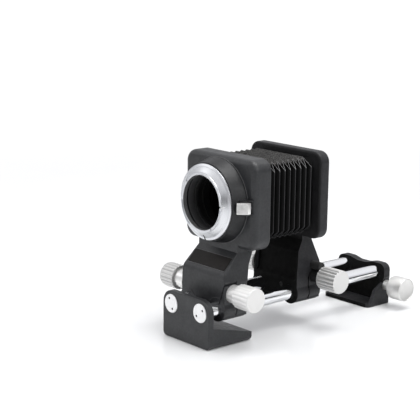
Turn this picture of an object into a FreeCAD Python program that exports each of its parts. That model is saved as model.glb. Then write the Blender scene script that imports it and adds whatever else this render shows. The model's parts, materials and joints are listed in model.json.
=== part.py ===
"""Macro bellows unit: two standards that slide on a pair of rods, with a pleated bellows between.

Axes: +X to the right seen from the lens side, +Y from the lens towards the camera, +Z up.
Origin: mouth of the tripod socket, on the underside of the front foot.  Millimetres.
"""
import FreeCAD, Part
import Sketcher
import math
import os

V = FreeCAD.Vector

# ---------------------------------------------------------------- driving dimensions

SIZES = [
    # rods and rack
    ("rod_radius", 6.0, "radius of a rod"),
    ("rod_spacing", 35.4, "distance between the rod axes"),
    ("rod_height", 28.5, "height of the rod axes above the table"),
    ("rod_free_length", 199.5, "length of rod that shows between the two feet"),
    ("rod_seat_depth", 2.0, "depth of the rod's seat in the front plate"),
    ("rod_rear_depth", 5.0, "depth of the rod's seat in the rear foot"),
    ("rod_thread_depth", 12.0, "depth of the screw hole in the rod's front end"),
    ("rod_edge", 0.5, "chamfer on the rods' ends"),
    ("gear_module", 0.75, "module of rack and pinions"),
    ("pinion_teeth", 19, "teeth on a pinion"),
    ("rack_width", 3.0, "width of the rack bar"),
    ("rack_depth", 2.4, "depth of the rack bar below its pitch line"),
    ("rack_margin", 4.0, "distance from the front plate and the rear foot to the rack's ends"),
    ("pitch_line_height", 5.0, "height of the rack's pitch line above the rod axis"),
    ("tooth_backlash", 0.24, "play between rack and pinion teeth"),
    ("pinion_width", 2.4, "face width of a pinion"),
    # front foot
    ("socket_setback", 26.0, "distance from the front plate's face back to the tripod socket"),
    ("foot_width", 57.0, "width of the front foot"),
    ("plate_thickness", 5.0, "thickness of the upright front plate"),
    ("plate_height", 39.0, "height of the upright front plate"),
    ("plate_corner", 10.3, "corner radius at the top of the front plate"),
    ("tread_length", 46.3, "length of the front foot along the rods"),
    ("tread_heel", 17.2, "height of the tread at the front plate"),
    ("tread_toe", 7.2, "height of the tread at its rear end"),
    ("foot_bottom_round", 4.0, "radius along the bottom edges of the front foot"),
    ("foot_end_round", 1.4, "radius at the tread's rear end"),
    ("foot_edge", 0.8, "edge radius round the front plate"),
    ("bush_radius", 5.5, "outer radius of the tripod bush"),
    ("bush_height", 9.0, "height of the tripod bush"),
    ("bush_edge", 0.4, "chamfer round the tripod bush"),
    ("bush_floor", 1.0, "thickness of the tripod bush's closed end"),
    ("socket_radius", 2.6, "bore radius of the tripod bush"),
    ("screw_head_radius", 7.7, "head radius of a rod screw"),
    ("screw_head_thickness", 1.7, "head thickness of a rod screw"),
    ("screw_head_recess", 0.9, "depth of the head's seat in the front plate"),
    ("screw_shank_radius", 2.4, "shank radius of a rod screw"),
    ("screw_edge", 0.4, "chamfer on a rod screw's head"),
    ("screw_free_end", 1.0, "empty length of thread beyond a rod screw"),
    ("spanner_hole_radius", 0.95, "radius of a spanner hole"),
    ("spanner_hole_pitch", 4.5, "distance of a spanner hole from the screw's axis"),
    ("spanner_hole_depth", 1.1, "depth of a spanner hole"),
    ("left_screw_turn", 115.0, "turn of the left screw's spanner holes, degrees"),
    ("right_screw_turn", 38.0, "turn of the right screw's spanner holes, degrees"),
    # standards
    ("lens_height", 112.0, "height of the lens axis above the table"),
    ("front_gap", 12.0, "gap between front plate and front carriage"),
    ("front_carriage_length", 24.5, "length of the front carriage"),
    ("rear_carriage_length", 26.5, "length of the rear carriage"),
    ("carriage_half_width", 26.2, "half width of a carriage"),
    ("carriage_floor", 22.0, "height of the underside between the rod bosses"),
    ("rod_boss_radius", 9.8, "outer radius of the casting round a rod"),
    ("neck_start", 50.0, "height at which the rear neck starts to narrow"),
    ("lip_start_drop", 6.8, "front neck's narrowing starts this far below its lip"),
    ("lean_drop", 2.8, "drop from a frame's bottom to the height at which a leaning face meets its plane"),
    ("neck_half_width", 23.4, "half width of a neck under its frame"),
    ("neck_edge", 1.0, "edge radius down the sides of the front neck's face"),
    ("lean_rise", 16.2, "height of the front neck's leaning face"),
    ("lip_round", 8.0, "radius where the front face starts to lean back"),
    ("front_lip_lean", 0.8, "lean of the front face below that height"),
    ("front_neck_lean", 16.3, "distance from the front carriage's face back to the frame's face"),
    ("neck_back_low", 47.0, "height at which the front neck's back starts to lean"),
    ("neck_waist_drop", 13.8, "drop from the frame's bottom to the hollow in the front neck's back"),
    ("neck_waist_step", 2.9, "distance of that hollow behind the carriage's back"),
    ("neck_waist_round", 8.0, "radius of that hollow"),
    ("neck_back_drop", 4.3, "drop from the frame's bottom to where the front neck's back meets it"),
    ("neck_back_step", 2.3, "distance from the neck's back to the frame's back"),
    ("rear_neck_lean", 7.8, "distance from the rear carriage's face back to the frame's face"),
    ("rear_wall_lean", 2.6, "lean of the rear standard's front wall"),
    ("rear_wall_low", 47.0, "height at which the rear standard's front starts to lean"),
    ("rear_wall_drop", 11.8, "drop from the frame's bottom to where the rear standard's front leans to it"),
    ("rear_recess_half_width", 23.4, "half width of the recess in the rear standard's front"),
    ("rear_recess_depth", 2.2, "depth of that recess"),
    ("rear_recess_low", 39.5, "height of that recess's lower edge"),
    ("rear_recess_drop", 13.8, "drop from the frame's bottom to that recess's upper edge"),
    ("rear_flare_low", 53.0, "height at which the rear neck's back starts to lean"),
    ("rear_flare_drop", 3.8, "drop from the frame's bottom to where the rear neck's back meets it"),
    ("frame_width", 84.0, "width of a frame"),
    ("frame_height", 72.4, "height of a frame"),
    ("front_frame_depth", 18.0, "depth of the front frame"),
    ("rear_frame_depth", 11.0, "depth of the rear frame"),
    ("front_frame_corner", 9.5, "corner radius of the front frame"),
    ("rear_frame_corner", 9.0, "corner radius of the rear frame"),
    ("front_frame_edge", 5.0, "edge radius round the front frame's face"),
    ("rear_frame_edge", 2.4, "edge radius round the rear frame"),
    ("back_edge", 1.6, "edge radius round the front frame's back"),
    ("frame_root", 5.4, "length of neck sunk into its frame"),
    ("window_width", 66.0, "width of the window behind the bellows"),
    ("window_height", 62.0, "height of the window behind the bellows"),
    ("window_corner", 8.0, "corner radius of the window"),
    ("front_window_depth", 8.0, "depth of the window in the front frame"),
    ("rear_window_depth", 5.2, "depth of the window in the rear frame"),
    ("front_bore_radius", 27.0, "bore radius through the front frame"),
    # clamps
    ("slit_width", 1.1, "width of a clamp slit"),
    ("slit_start", 2.2, "distance of a slit's lower end from the rod's axis"),
    ("slit_rise", 3.0, "height of a slit's lower end above the rod's axis"),
    ("slit_overrun", 2.0, "distance by which a slit's line runs past the side wall"),
    ("front_slit_top", 59.2, "height of the front slit's line at its outer end"),
    ("rear_slit_top", 49.0, "height of the rear slit's line at its outer end"),
    ("front_slit_station", 12.5, "distance from the front carriage's face to its cross slit"),
    ("rear_slit_station", 13.0, "distance from the rear carriage's face to its cross slit"),
    ("lock_height", 41.5, "height of the lock knobs' axes"),
    ("front_lock_inset", 9.8, "distance from the front carriage's face to its lock"),
    ("rear_lock_inset", 20.6, "distance from the rear carriage's face to its lock"),
    ("front_collar_radius", 7.4, "radius of the front lock collar"),
    ("rear_collar_radius", 6.0, "radius of the rear lock collar"),
    ("front_collar_length", 8.6, "length of the front lock collar"),
    ("rear_collar_length", 10.6, "length of the rear lock collar"),
    ("collar_edge", 0.5, "chamfer on bushes, collars and caps"),
    ("stud_radius", 2.4, "radius of a lock stud"),
    ("stud_inner_end", 11.0, "distance of a lock stud's inner end from the middle plane"),
    ("stud_grip", 8.0, "length of stud inside its knob"),
    ("lock_knob_radius", 9.9, "radius of a lock knob"),
    ("front_lock_length", 17.7, "length of the front lock knob"),
    ("rear_lock_length", 19.4, "length of the rear lock knob"),
    ("knob_chamfer", 0.8, "chamfer round a knob's ends"),
    ("flute_count", 22, "flutes round a knob"),
    ("flute_depth", 0.6, "depth of a flute"),
    ("flute_floor", 0.9, "width of a flute's floor"),
    ("flute_mouth", 1.9, "width of a flute at the knob's surface"),
    # drives
    ("front_drive_inset", 10.8, "distance from the front carriage's face to its pinion"),
    ("rear_drive_inset", 20.0, "distance from the rear carriage's face to its pinion"),
    ("shaft_radius", 3.0, "radius of a drive shaft"),
    ("shaft_inner_end", 8.5, "distance of a drive shaft's inner end from the middle plane"),
    ("drive_bush_radius", 8.0, "radius of a drive bush"),
    ("drive_bush_length", 12.8, "length of a drive bush outside the carriage"),
    ("bush_seat_depth", 2.0, "depth of the drive bush's seat"),
    ("bush_seat_radius", 8.5, "radius of the drive bush's seat"),
    ("drive_boss_radius", 10.2, "radius of the casting round a pinion"),
    ("drive_boss_end", 14.2, "distance of that casting's inner end from the middle plane"),
    ("chamber_end", 15.9, "distance of the pinion chamber's inner end from the middle plane"),
    ("bush_nose_radius", 4.9, "radius of the bush's nose above the rod"),
    ("bush_nose_end", 19.7, "distance of the bush's nose from the middle plane"),
    ("drive_knob_radius", 10.3, "radius of a drive knob"),
    ("drive_knob_length", 16.0, "length of a drive knob"),
    ("shaft_grip", 11.0, "length of shaft inside its knob"),
    # lens side
    ("turret_depth", 12.6, "depth of the turret"),
    ("turret_front_radius", 31.3, "radius of the turret at its face"),
    ("turret_base_radius", 34.4, "radius of the turret at its foot"),
    ("turret_foot", 1.2, "thickness of the turret's foot"),
    ("turret_bore", 24.0, "bore radius of the turret"),
    ("ring_radius", 30.5, "outer radius of the bayonet ring"),
    ("ring_rim", 1.3, "thickness of the bayonet ring's rim"),
    ("ring_height", 6.0, "height of the bayonet ring above the turret"),
    ("ring_lip", 1.3, "width of the bayonet ring's front lip"),
    ("ring_bevel_radius", 28.6, "radius at which the ring's cone meets its bevel"),
    ("ring_bevel_height", 2.3, "height of that line above the turret"),
    ("throat_radius", 22.0, "radius of the lens throat"),
    ("throat_length", 4.0, "length of the throat's wall"),
    ("throat_groove", 23.6, "radius of the bayonet groove behind the throat"),
    ("spring_ring_width", 0.8, "width of the bayonet spring ring"),
    ("spring_ring_depth", 1.4, "depth of the bayonet spring ring"),
    ("baffle_wall", 1.6, "wall of the baffle tube"),
    ("baffle_section", 6.6, "length of one section of the baffle tube"),
    ("baffle_step", 1.4, "height of one step in the baffle tube"),
    ("turret_screw_circle", 29.6, "circle radius of the turret screws"),
    ("turret_screw_radius", 1.25, "shank radius of a turret screw"),
    ("turret_screw_head", 2.2, "head radius of a turret screw"),
    ("turret_screw_head_depth", 1.5, "head thickness of a turret screw"),
    ("turret_socket_depth", 0.8, "depth of the sockets in those heads"),
    ("turret_screw_grip", 5.0, "length of screw inside the turret"),
    # lens release
    ("pin_circle", 25.4, "distance of the lock pin from the lens axis"),
    ("pin_radius", 0.95, "radius of the lock pin"),
    ("pin_edge", 0.3, "chamfer on the lock pin's tip"),
    ("pin_proud", 1.6, "height of the lock pin above the ring"),
    ("release_height", 9.0, "height of the release piece"),
    ("release_inner", 34.6, "distance of the release piece's inner edge from the lens axis"),
    ("release_front", 0.7, "distance of the release piece behind the turret's face"),
    ("release_width", 6.1, "width of the release piece"),
    ("release_reach", 7.0, "depth of the release piece's sloping face"),
    ("release_crown", 0.5, "crown of that face"),
    ("release_travel", 2.2, "travel of the release piece"),
    ("release_round", 1.5, "radius of the release piece's outer corners"),
    ("arm_front", 2.4, "distance of the release arm behind the turret's face"),
    ("pin_grip", 1.5, "length of the lock pin inside the arm"),
    ("notch_depth", 3.5, "depth of the notch from the throat to the pin"),
    ("arm_end", 1.0, "length of arm past the lock pin's axis"),
    ("arm_height", 4.0, "height of the release arm"),
    ("arm_depth", 3.0, "depth of the release arm"),
    ("cheek_thickness", 1.2, "thickness of the guard above and below the release piece"),
    ("cheek_setback", 4.2, "distance of the guards behind the front edge of the release piece"),
    ("spring_radius", 1.6, "mean radius of the return spring"),
    ("spring_wire", 0.25, "wire radius of the return spring"),
    ("spring_turns", 5, "turns of the return spring"),
    ("spring_seat", 2.0, "depth of the return spring's seats"),
    ("spring_offset", 37.0, "distance of the return spring from the lens axis"),
    # bellows
    ("bellows_length", 54.0, "distance between the two frames"),
    ("pleat_count", 9, "number of pleats"),
    ("pleat_half_width", 35.0, "half width of the bellows over its side folds"),
    ("pleat_half_height", 32.0, "half height of the bellows over its top and bottom folds"),
    ("fold_depth", 7.6, "depth of the folds"),
    ("bellows_wall", 1.0, "thickness of the bellows at a fold"),
    ("holder_thickness", 1.2, "thickness of the frames that hold the bellows"),
    ("holder_inset", 1.1, "distance of the front holder inside its window"),
    ("holder_width", 52.0, "width of the opening in a holder"),
    ("holder_height", 46.0, "height of the opening in a holder"),
    ("bellows_lead", 1.2, "plain length before the first pleat"),
    ("bellows_tail", 0.4, "plain length after the last pleat"),
    # camera side
    ("turntable_bore", 28.0, "bore radius for the turntable in the rear frame"),
    ("turntable_radius", 33.0, "radius of the turntable"),
    ("turntable_depth", 3.8, "depth of the turntable behind the frame"),
    ("turntable_edge", 0.8, "chamfer round the turntable"),
    ("turntable_throat", 21.0, "throat radius of the turntable"),
    ("retainer_radius", 30.2, "radius of the turntable's retainer"),
    ("retainer_depth", 1.6, "thickness of the turntable's retainer"),
    ("camera_flange_radius", 29.0, "radius of the camera bayonet's flange"),
    ("camera_flange_depth", 1.6, "thickness of the camera bayonet's flange"),
    ("register_radius", 21.9, "radius of the camera bayonet's register"),
    ("register_length", 4.2, "length of the camera bayonet's register"),
    ("register_wall", 1.5, "wall of the camera bayonet's register"),
    ("lug_radius", 23.3, "radius over the bayonet lugs"),
    ("lug_thickness", 1.3, "thickness of a bayonet lug"),
    ("lug_width", 17.0, "width of a bayonet lug"),
    ("lug_root", 0.5, "depth of a lug's root in the register ring"),
    ("camera_screw_circle", 25.9, "circle radius of the camera mount screws"),
    ("camera_screw_radius", 1.4, "head radius of a camera mount screw"),
    # small pieces
    ("nameplate_half_width", 22.0, "half width of the nameplate"),
    ("nameplate_length", 12.2, "length of the nameplate up the slope"),
    ("nameplate_thickness", 0.8, "thickness of the nameplate"),
    ("nameplate_recess", 0.5, "depth of the nameplate's recess"),
    ("nameplate_rise", 4.2, "distance of the nameplate from the foot of the slope"),
    ("gib_screw_radius", 1.9, "radius of a gib screw"),
    ("gib_screw_length", 6.0, "length of a gib screw"),
    ("gib_screw_offset", 7.5, "distance of a gib screw from the middle plane"),
    ("gib_screw_height", 33.5, "height of a gib screw"),
    ("gib_slot_depth", 0.7, "depth of a gib screw's slot"),
    ("gib_slot_width", 0.6, "width of the gib screw's slot"),
    ("cap_radius", 3.6, "radius of the friction screw's cap"),
    ("cap_length", 10.6, "length of the friction screw's cap"),
    ("cap_height", 50.9, "height of the friction screw"),
    ("cap_station", 18.2, "distance from the rear carriage's face to the friction screw"),
    ("cap_shank", 1.6, "shank radius of the friction screw"),
    # rear foot
    ("rear_foot_width", 53.0, "width of the rear foot"),
    ("ear_half_width", 27.7, "half width of the rear upright at its ears"),
    ("ear_low", 24.8, "height of the ears' underside"),
    ("ear_slant", 2.2, "height in which the upright widens to its ears"),
    ("ear_top", 36.6, "height of the ears"),
    ("ear_round", 6.0, "radius of the ears' outer corners"),
    ("saddle_start", 13.5, "distance from the middle plane at which the ears fall to the saddle"),
    ("saddle_end", 5.0, "distance from the middle plane at which the saddle levels out"),
    ("saddle_round", 12.0, "radius of the curves from the ears to the saddle"),
    ("rear_tread", 19.3, "length of the rear foot's tread before its upright"),
    ("rear_upright", 8.4, "thickness of the rear foot's upright"),
    ("rear_floor", 3.2, "thickness of the rear foot's floor"),
    ("rear_gusset", 2.8, "thickness of the rear foot's side gussets"),
    ("rear_gusset_height", 20.0, "height of the gussets at the upright"),
    ("gusset_knee_setback", 9.3, "distance of the gusset's knee before the upright"),
    ("gusset_knee_height", 14.6, "height of the gusset's knee"),
    ("saddle_height", 34.5, "height of the saddle between the ears"),
    ("rear_foot_round", 1.6, "edge radius of the rear foot"),
    ("foot_lock_height", 17.6, "height of the rear foot's clamp knob"),
    ("foot_lock_inset", 3.8, "distance of the clamp knob behind the upright's face"),
    ("foot_shoulder", 5.0, "length of the clamp knob's conical shoulder"),
    ("foot_neck_radius", 4.6, "radius of the clamp knob's neck"),
    ("foot_neck_length", 4.6, "length of the clamp knob's neck"),
    ("foot_knob_length", 19.5, "length of the clamp knob"),
    ("foot_knob_radius", 10.2, "radius of the clamp knob"),
    ("foot_slit_low", 10.5, "height of the lower end of the rear foot's slit"),
    # fits
    ("seat_clearance", 0.02, "gap of a seated or pressed fit"),
    ("running_clearance", 0.05, "gap of a running fit"),
    ("free_clearance", 0.3, "gap between parts that move past each other"),
]


class Size:
    """A dimension with its number and with the expression that binds it to the sheet."""

    def __init__(self, number, text):
        self.number = float(number)
        self.text = text

    def __add__(self, other):
        other = as_size(other)
        return Size(self.number + other.number, f"({self.text} + {other.text})")

    def __sub__(self, other):
        other = as_size(other)
        return Size(self.number - other.number, f"({self.text} - {other.text})")

    def __mul__(self, other):
        other = as_size(other)
        return Size(self.number * other.number, f"({self.text} * {other.text})")

    def __truediv__(self, other):
        other = as_size(other)
        return Size(self.number / other.number, f"({self.text} / {other.text})")

    def __neg__(self):
        return Size(-self.number, f"(-{self.text})")

    def __radd__(self, other):
        return as_size(other) + self

    def __rsub__(self, other):
        return as_size(other) - self

    def __rmul__(self, other):
        return as_size(other) * self


def as_size(value):
    return value if isinstance(value, Size) else Size(value, repr(float(value)))


def cosine(angle):
    """Cosine of an angle given in degrees."""
    angle = as_size(angle)
    return Size(math.cos(math.radians(angle.number)), f"cos({angle.text} * 1 deg)")


def sine(angle):
    """Sine of an angle given in degrees."""
    angle = as_size(angle)
    return Size(math.sin(math.radians(angle.number)), f"sin({angle.text} * 1 deg)")


def root(value):
    return Size(math.sqrt(value.number), f"sqrt({value.text})")


class Dimensions:
    """The sheet's cells, read as attributes."""


doc = FreeCAD.newDocument("MacroBellows")
sheet = doc.addObject("Spreadsheet::Sheet", "Sizes")
d = Dimensions()
for row, (alias, number, note) in enumerate(SIZES, start=1):
    sheet.set(f"A{row}", note)
    sheet.set(f"B{row}", str(number))
    sheet.setAlias(f"B{row}", alias)
    setattr(d, alias, Size(number, f"Sizes.{alias}"))
doc.recompute()

nodes = {}

# ---------------------------------------------------------------- modelling helpers

PLANES = {"x": "YZ_Plane", "y": "XZ_Plane", "z": "XY_Plane"}
AXES = {"x": "X_Axis", "y": "Y_Axis", "z": "Z_Axis"}
TURN = {
    "x": FreeCAD.Rotation(V(0, 1, 0), 90),
    "y": FreeCAD.Rotation(V(1, 0, 0), -90),
    "z": FreeCAD.Rotation(),
}


def bind(thing, name, value):
    """Tie a property to the sheet."""
    thing.setExpression(name, as_size(value).text)


def put(thing, x=0, y=0, z=0):
    """Tie a placement's base to the sheet."""
    for name, value in (("x", x), ("y", y), ("z", z)):
        bind(thing, f"Placement.Base.{name}", value)


def origin_feature(body, role):
    return [feature for feature in body.Origin.OriginFeatures if feature.Role == role][0]


def new_body(name, x=0, y=0, z=0):
    body = doc.addObject("PartDesign::Body", name)
    put(body, x, y, z)
    return body


def register(name, thing):
    """Make a finished object one of the unit's sub-parts."""
    thing.Label = name
    nodes[name] = thing
    return thing


class Outline:
    """A fully constrained sketch on one of its body's origin planes."""

    def __init__(self, body, axis, offset=0):
        self.sketch = body.newObject("Sketcher::SketchObject", "Outline")
        self.sketch.AttachmentSupport = (origin_feature(body, PLANES[axis]), [""])
        self.sketch.MapMode = "FlatFace"
        side = -1 if axis == "y" else 1
        bind(self.sketch, "AttachmentOffset.Base.z", side * as_size(offset))

    def dimension(self, kind, geometry, point, value):
        value = as_size(value)
        if kind == "Radius":
            constraint = Sketcher.Constraint(kind, geometry, value.number)
        else:
            constraint = Sketcher.Constraint(kind, -1, 1, geometry, point, value.number)
        index = self.sketch.addConstraint(constraint)
        bind(self.sketch, f"Constraints[{index}]", value)

    def fix(self, geometry, point, across, up):
        self.dimension("DistanceX", geometry, point, across)
        self.dimension("DistanceY", geometry, point, up)

    def polygon(self, points):
        points = [(as_size(across), as_size(up)) for across, up in points]
        first = self.sketch.GeometryCount
        for index, (across, up) in enumerate(points):
            next_across, next_up = points[(index + 1) % len(points)]
            line = Part.LineSegment(
                V(across.number, up.number, 0), V(next_across.number, next_up.number, 0)
            )
            self.sketch.addGeometry(line, False)
        for index, (across, up) in enumerate(points):
            after = first + (index + 1) % len(points)
            self.sketch.addConstraint(Sketcher.Constraint("Coincident", first + index, 2, after, 1))
            self.fix(first + index, 1, across, up)
        return self

    def rectangle(self, left, bottom, right, top):
        return self.polygon([(left, bottom), (right, bottom), (right, top), (left, top)])

    def circle(self, across, up, radius):
        across, up, radius = as_size(across), as_size(up), as_size(radius)
        ring = Part.Circle(V(across.number, up.number, 0), V(0, 0, 1), radius.number)
        index = self.sketch.addGeometry(ring, False)
        self.fix(index, 3, across, up)
        self.dimension("Radius", index, None, radius)
        return self


def extrude(body, axis, outline, start, stop, cut=False):
    """Pad or pocket an outline from start to stop (stop above start) along an axis."""
    kind = "Pocket" if cut else "Pad"
    feature = body.newObject(f"PartDesign::{kind}", kind)
    feature.Profile = outline.sketch
    bind(feature, "Length", stop - start)
    feature.Reversed = (axis == "y") != cut
    doc.recompute()
    if cut and not feature.Shape.isNull():
        removed = feature.BaseFeature.Shape.Volume - feature.Shape.Volume
        assert removed > 0, f"{body.Name}: a pocket removes nothing"
    return feature


def pad(body, axis, start, stop, draw):
    outline = Outline(body, axis, start)
    draw(outline)
    return extrude(body, axis, outline, as_size(start), as_size(stop))


def pocket(body, axis, start, stop, draw):
    outline = Outline(body, axis, start)
    draw(outline)
    return extrude(body, axis, outline, as_size(start), as_size(stop), cut=True)


def revolve(body, points):
    """Turn a profile of (station along Y, radius) points about the body's Y axis."""
    outline = Outline(body, "x")
    outline.polygon(points)
    feature = body.newObject("PartDesign::Revolution", "Turned")
    feature.Profile = outline.sketch
    feature.ReferenceAxis = (origin_feature(body, AXES["y"]), [""])
    feature.Angle = 360
    doc.recompute()
    return feature


def polar(body, feature, axis, count):
    pattern = body.newObject("PartDesign::PolarPattern", "Round")
    pattern.Originals = [feature]
    pattern.Axis = (origin_feature(body, AXES[axis]), [""])
    pattern.Angle = 360
    bind(pattern, "Occurrences", count)
    body.Tip = pattern
    doc.recompute()
    return pattern


def linear(body, feature, axis, length, count):
    """Repeat a feature, or the whole body where none is given, along an axis."""
    pattern = body.newObject("PartDesign::LinearPattern", "Row")
    if feature is None:
        pattern.TransformMode = "Whole shape"
    else:
        pattern.Originals = [feature]
    pattern.Direction = (origin_feature(body, AXES[axis]), [""])
    bind(pattern, "Length", length)
    bind(pattern, "Occurrences", count)
    body.Tip = pattern
    doc.recompute()
    return pattern


def dress(body, kind, value, chosen):
    """Fillet or chamfer the edges of the body's tip that pass a test."""
    doc.recompute()
    base = body.Tip
    names = [f"Edge{i}" for i, edge in enumerate(base.Shape.Edges, start=1) if chosen(edge)]
    feature = body.newObject(f"PartDesign::{kind}", kind)
    feature.Base = (base, names)
    bind(feature, "Radius" if kind == "Fillet" else "Size", value)
    doc.recompute()
    return feature


def runs_along(edge, axis):
    box = edge.BoundBox
    spans = {"x": box.XLength, "y": box.YLength, "z": box.ZLength}
    return all(length < 1e-6 for name, length in spans.items() if name != axis)


def lies_at(edge, axis, value):
    """Whether a whole edge lies in the plane at a coordinate."""
    box = edge.BoundBox
    low, high = {"x": (box.XMin, box.XMax), "y": (box.YMin, box.YMax), "z": (box.ZMin, box.ZMax)}[axis]
    number = as_size(value).number
    return abs(low - number) < 1e-4 and abs(high - number) < 1e-4


def cylinder(name, axis, radius, start, stop, x=0, y=0, z=0):
    """A primitive cylinder from start to stop along an axis, with its axis line at x, y, z."""
    solid = doc.addObject("Part::Cylinder", name)
    bind(solid, "Radius", radius)
    bind(solid, "Height", as_size(stop) - start)
    solid.Placement = FreeCAD.Placement(V(), TURN[axis])
    base = {"x": x, "y": y, "z": z}
    base[axis] = start
    put(solid, **base)
    return solid


def block(name, x, y, z):
    """A primitive box between two stations on each axis."""
    solid = doc.addObject("Part::Box", name)
    bind(solid, "Length", as_size(x[1]) - x[0])
    bind(solid, "Width", as_size(y[1]) - y[0])
    bind(solid, "Height", as_size(z[1]) - z[0])
    put(solid, x[0], y[0], z[0])
    return solid


def cut_away(name, base, *tools):
    for index, tool in enumerate(tools):
        step = doc.addObject("Part::Cut", f"{name}{index}")
        step.Base = base
        step.Tool = tool
        base = step
    return base


def join(name, *solids):
    fused = doc.addObject("Part::MultiFuse", name)
    fused.Shapes = list(solids)
    return fused


def meet(name, *solids):
    shared = doc.addObject("Part::MultiCommon", name)
    shared.Shapes = list(solids)
    doc.recompute()
    return shared


def group(name, solids):
    gathered = doc.addObject("Part::Compound", name)
    gathered.Links = list(solids)
    return gathered

# ---------------------------------------------------------------- stations

rod_x = d.rod_spacing / 2
plate_face = -d.socket_setback
plate_back = plate_face + d.plate_thickness
front_face = plate_back + d.front_gap
front_frame_face = front_face + d.front_neck_lean
front_frame_back = front_frame_face + d.front_frame_depth
turret_face = front_frame_face - d.turret_depth
rear_frame_face = front_frame_back + d.bellows_length
rear_frame_back = rear_frame_face + d.rear_frame_depth
rear_face = rear_frame_face - d.rear_neck_lean
rear_foot_face = plate_back + d.rod_free_length
frame_bottom = d.lens_height - d.frame_height / 2
neck_top = frame_bottom + d.frame_root
lean_top = frame_bottom - d.lean_drop
lip_height = lean_top - d.lean_rise
tooth_pitch = d.gear_module * math.pi
pitch_radius = d.gear_module * d.pinion_teeth / 2
drive_height = d.rod_height + d.pitch_line_height + pitch_radius
rack_start = plate_back + d.rack_margin
running_rod = d.rod_radius + d.running_clearance
seated_rod = d.rod_radius + d.seat_clearance


# ---------------------------------------------------------------- rods, rack and feet

def rod(name, side):
    body = new_body(name, side * rod_x, plate_back - d.rod_seat_depth, d.rod_height)
    length = d.rod_seat_depth + d.rod_free_length + d.rod_rear_depth
    pad(body, "y", 0, length, lambda o: o.circle(0, 0, d.rod_radius))
    dress(body, "Chamfer", d.rod_edge, lambda e: lies_at(e, "y", 0) or lies_at(e, "y", length))
    hole = d.screw_shank_radius + d.seat_clearance
    pocket(body, "y", 0, d.rod_thread_depth, lambda o: o.circle(0, 0, hole))
    if side < 0:
        half = d.rack_width / 2 + d.seat_clearance
        start = rack_start - (plate_back - d.rod_seat_depth)
        stop = start + d.rod_free_length - d.rack_margin * 2
        floor = d.pitch_line_height - d.rack_depth - d.seat_clearance
        pocket(
            body, "y", start - d.seat_clearance, stop + d.seat_clearance,
            lambda o: o.rectangle(-half, floor, half, d.rod_radius + 1),
        )
    return register(name, body)


def rack():
    body = new_body("rack", -rod_x, rack_start, d.rod_height + d.pitch_line_height)
    length = d.rod_free_length - d.rack_margin * 2
    half = d.rack_width / 2
    slope = math.tan(math.radians(20))
    gap = tooth_pitch / 4 + d.tooth_backlash / 4
    pad(body, "y", 0, length, lambda o: o.rectangle(-half, -d.rack_depth, half, d.gear_module))
    middle = tooth_pitch / 2
    top = d.gear_module * 1.4
    low = -d.gear_module * 1.25
    wide = gap + slope * top
    narrow = gap + slope * low
    tooth = pocket(
        body, "x", -half - 1, half + 1,
        lambda o: o.polygon([
            (middle - narrow, low), (middle + narrow, low),
            (middle + wide, top), (middle - wide, top),
        ]),
    )
    count = as_size(Size(math.floor((length / tooth_pitch).number), f"floor({(length / tooth_pitch).text})"))
    linear(body, tooth, "y", tooth_pitch * (count - 1), count)
    return register("rack", body)


def rod_screw(name, side, turn):
    face = plate_face + d.screw_head_recess - d.screw_head_thickness
    body = new_body(name, side * rod_x, face, d.rod_height)
    head = d.screw_head_thickness
    pad(body, "y", 0, head, lambda o: o.circle(0, 0, d.screw_head_radius))
    dress(body, "Chamfer", d.screw_edge, lambda e: lies_at(e, "y", 0))
    seat = d.plate_thickness - d.screw_head_recess - d.rod_seat_depth
    reach = head + seat + d.rod_thread_depth - d.screw_free_end
    pad(body, "y", head / 2, reach, lambda o: o.circle(0, 0, d.screw_shank_radius))
    across = d.spanner_hole_pitch * cosine(turn)
    up = d.spanner_hole_pitch * sine(turn)
    for way in (-1, 1):
        pocket(
            body, "y", 0, d.spanner_hole_depth,
            lambda o, way=way: o.circle(way * across, way * up, d.spanner_hole_radius),
        )
    return register(name, body)


def front_foot():
    body = new_body("front_foot", 0, plate_face, 0)
    half = d.foot_width / 2
    pad(body, "x", -half, half, lambda o: o.polygon([
        (0, 0), (d.tread_length, 0), (d.tread_length, d.tread_toe),
        (d.plate_thickness, d.tread_heel), (d.plate_thickness, d.plate_height), (0, d.plate_height),
    ]))
    dress(body, "Fillet", d.plate_corner, lambda e: runs_along(e, "y") and lies_at(e, "z", d.plate_height))
    dress(body, "Fillet", d.foot_bottom_round, lambda e: runs_along(e, "y") and lies_at(e, "z", 0))
    dress(body, "Fillet", d.foot_end_round,
          lambda e: lies_at(e, "y", d.tread_length) and e.BoundBox.ZMax > d.tread_toe.number - 1)
    dress(body, "Fillet", d.foot_edge, lambda e: lies_at(e, "y", 0))
    for side in (-1, 1):
        x = side * rod_x
        pocket(body, "y", 0, d.screw_head_recess,
               lambda o, x=x: o.circle(x, d.rod_height, d.screw_head_radius + d.running_clearance))
        pocket(body, "y", 0, d.plate_thickness,
               lambda o, x=x: o.circle(x, d.rod_height, d.screw_shank_radius + d.seat_clearance))
        pocket(body, "y", d.plate_thickness - d.rod_seat_depth, d.plate_thickness,
               lambda o, x=x: o.circle(x, d.rod_height, seated_rod))
    pocket(body, "z", 0, d.bush_height + d.seat_clearance,
           lambda o: o.circle(0, d.socket_setback, d.bush_radius + d.seat_clearance))
    return register("front_foot", body)


def tripod_bush():
    body = new_body("tripod_bush")
    pad(body, "z", 0, d.bush_height, lambda o: o.circle(0, 0, d.bush_radius))
    dress(body, "Chamfer", d.bush_edge, lambda e: lies_at(e, "z", 0))
    pocket(body, "z", 0, d.bush_height - d.bush_floor, lambda o: o.circle(0, 0, d.socket_radius))
    return register("tripod_bush", body)


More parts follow.
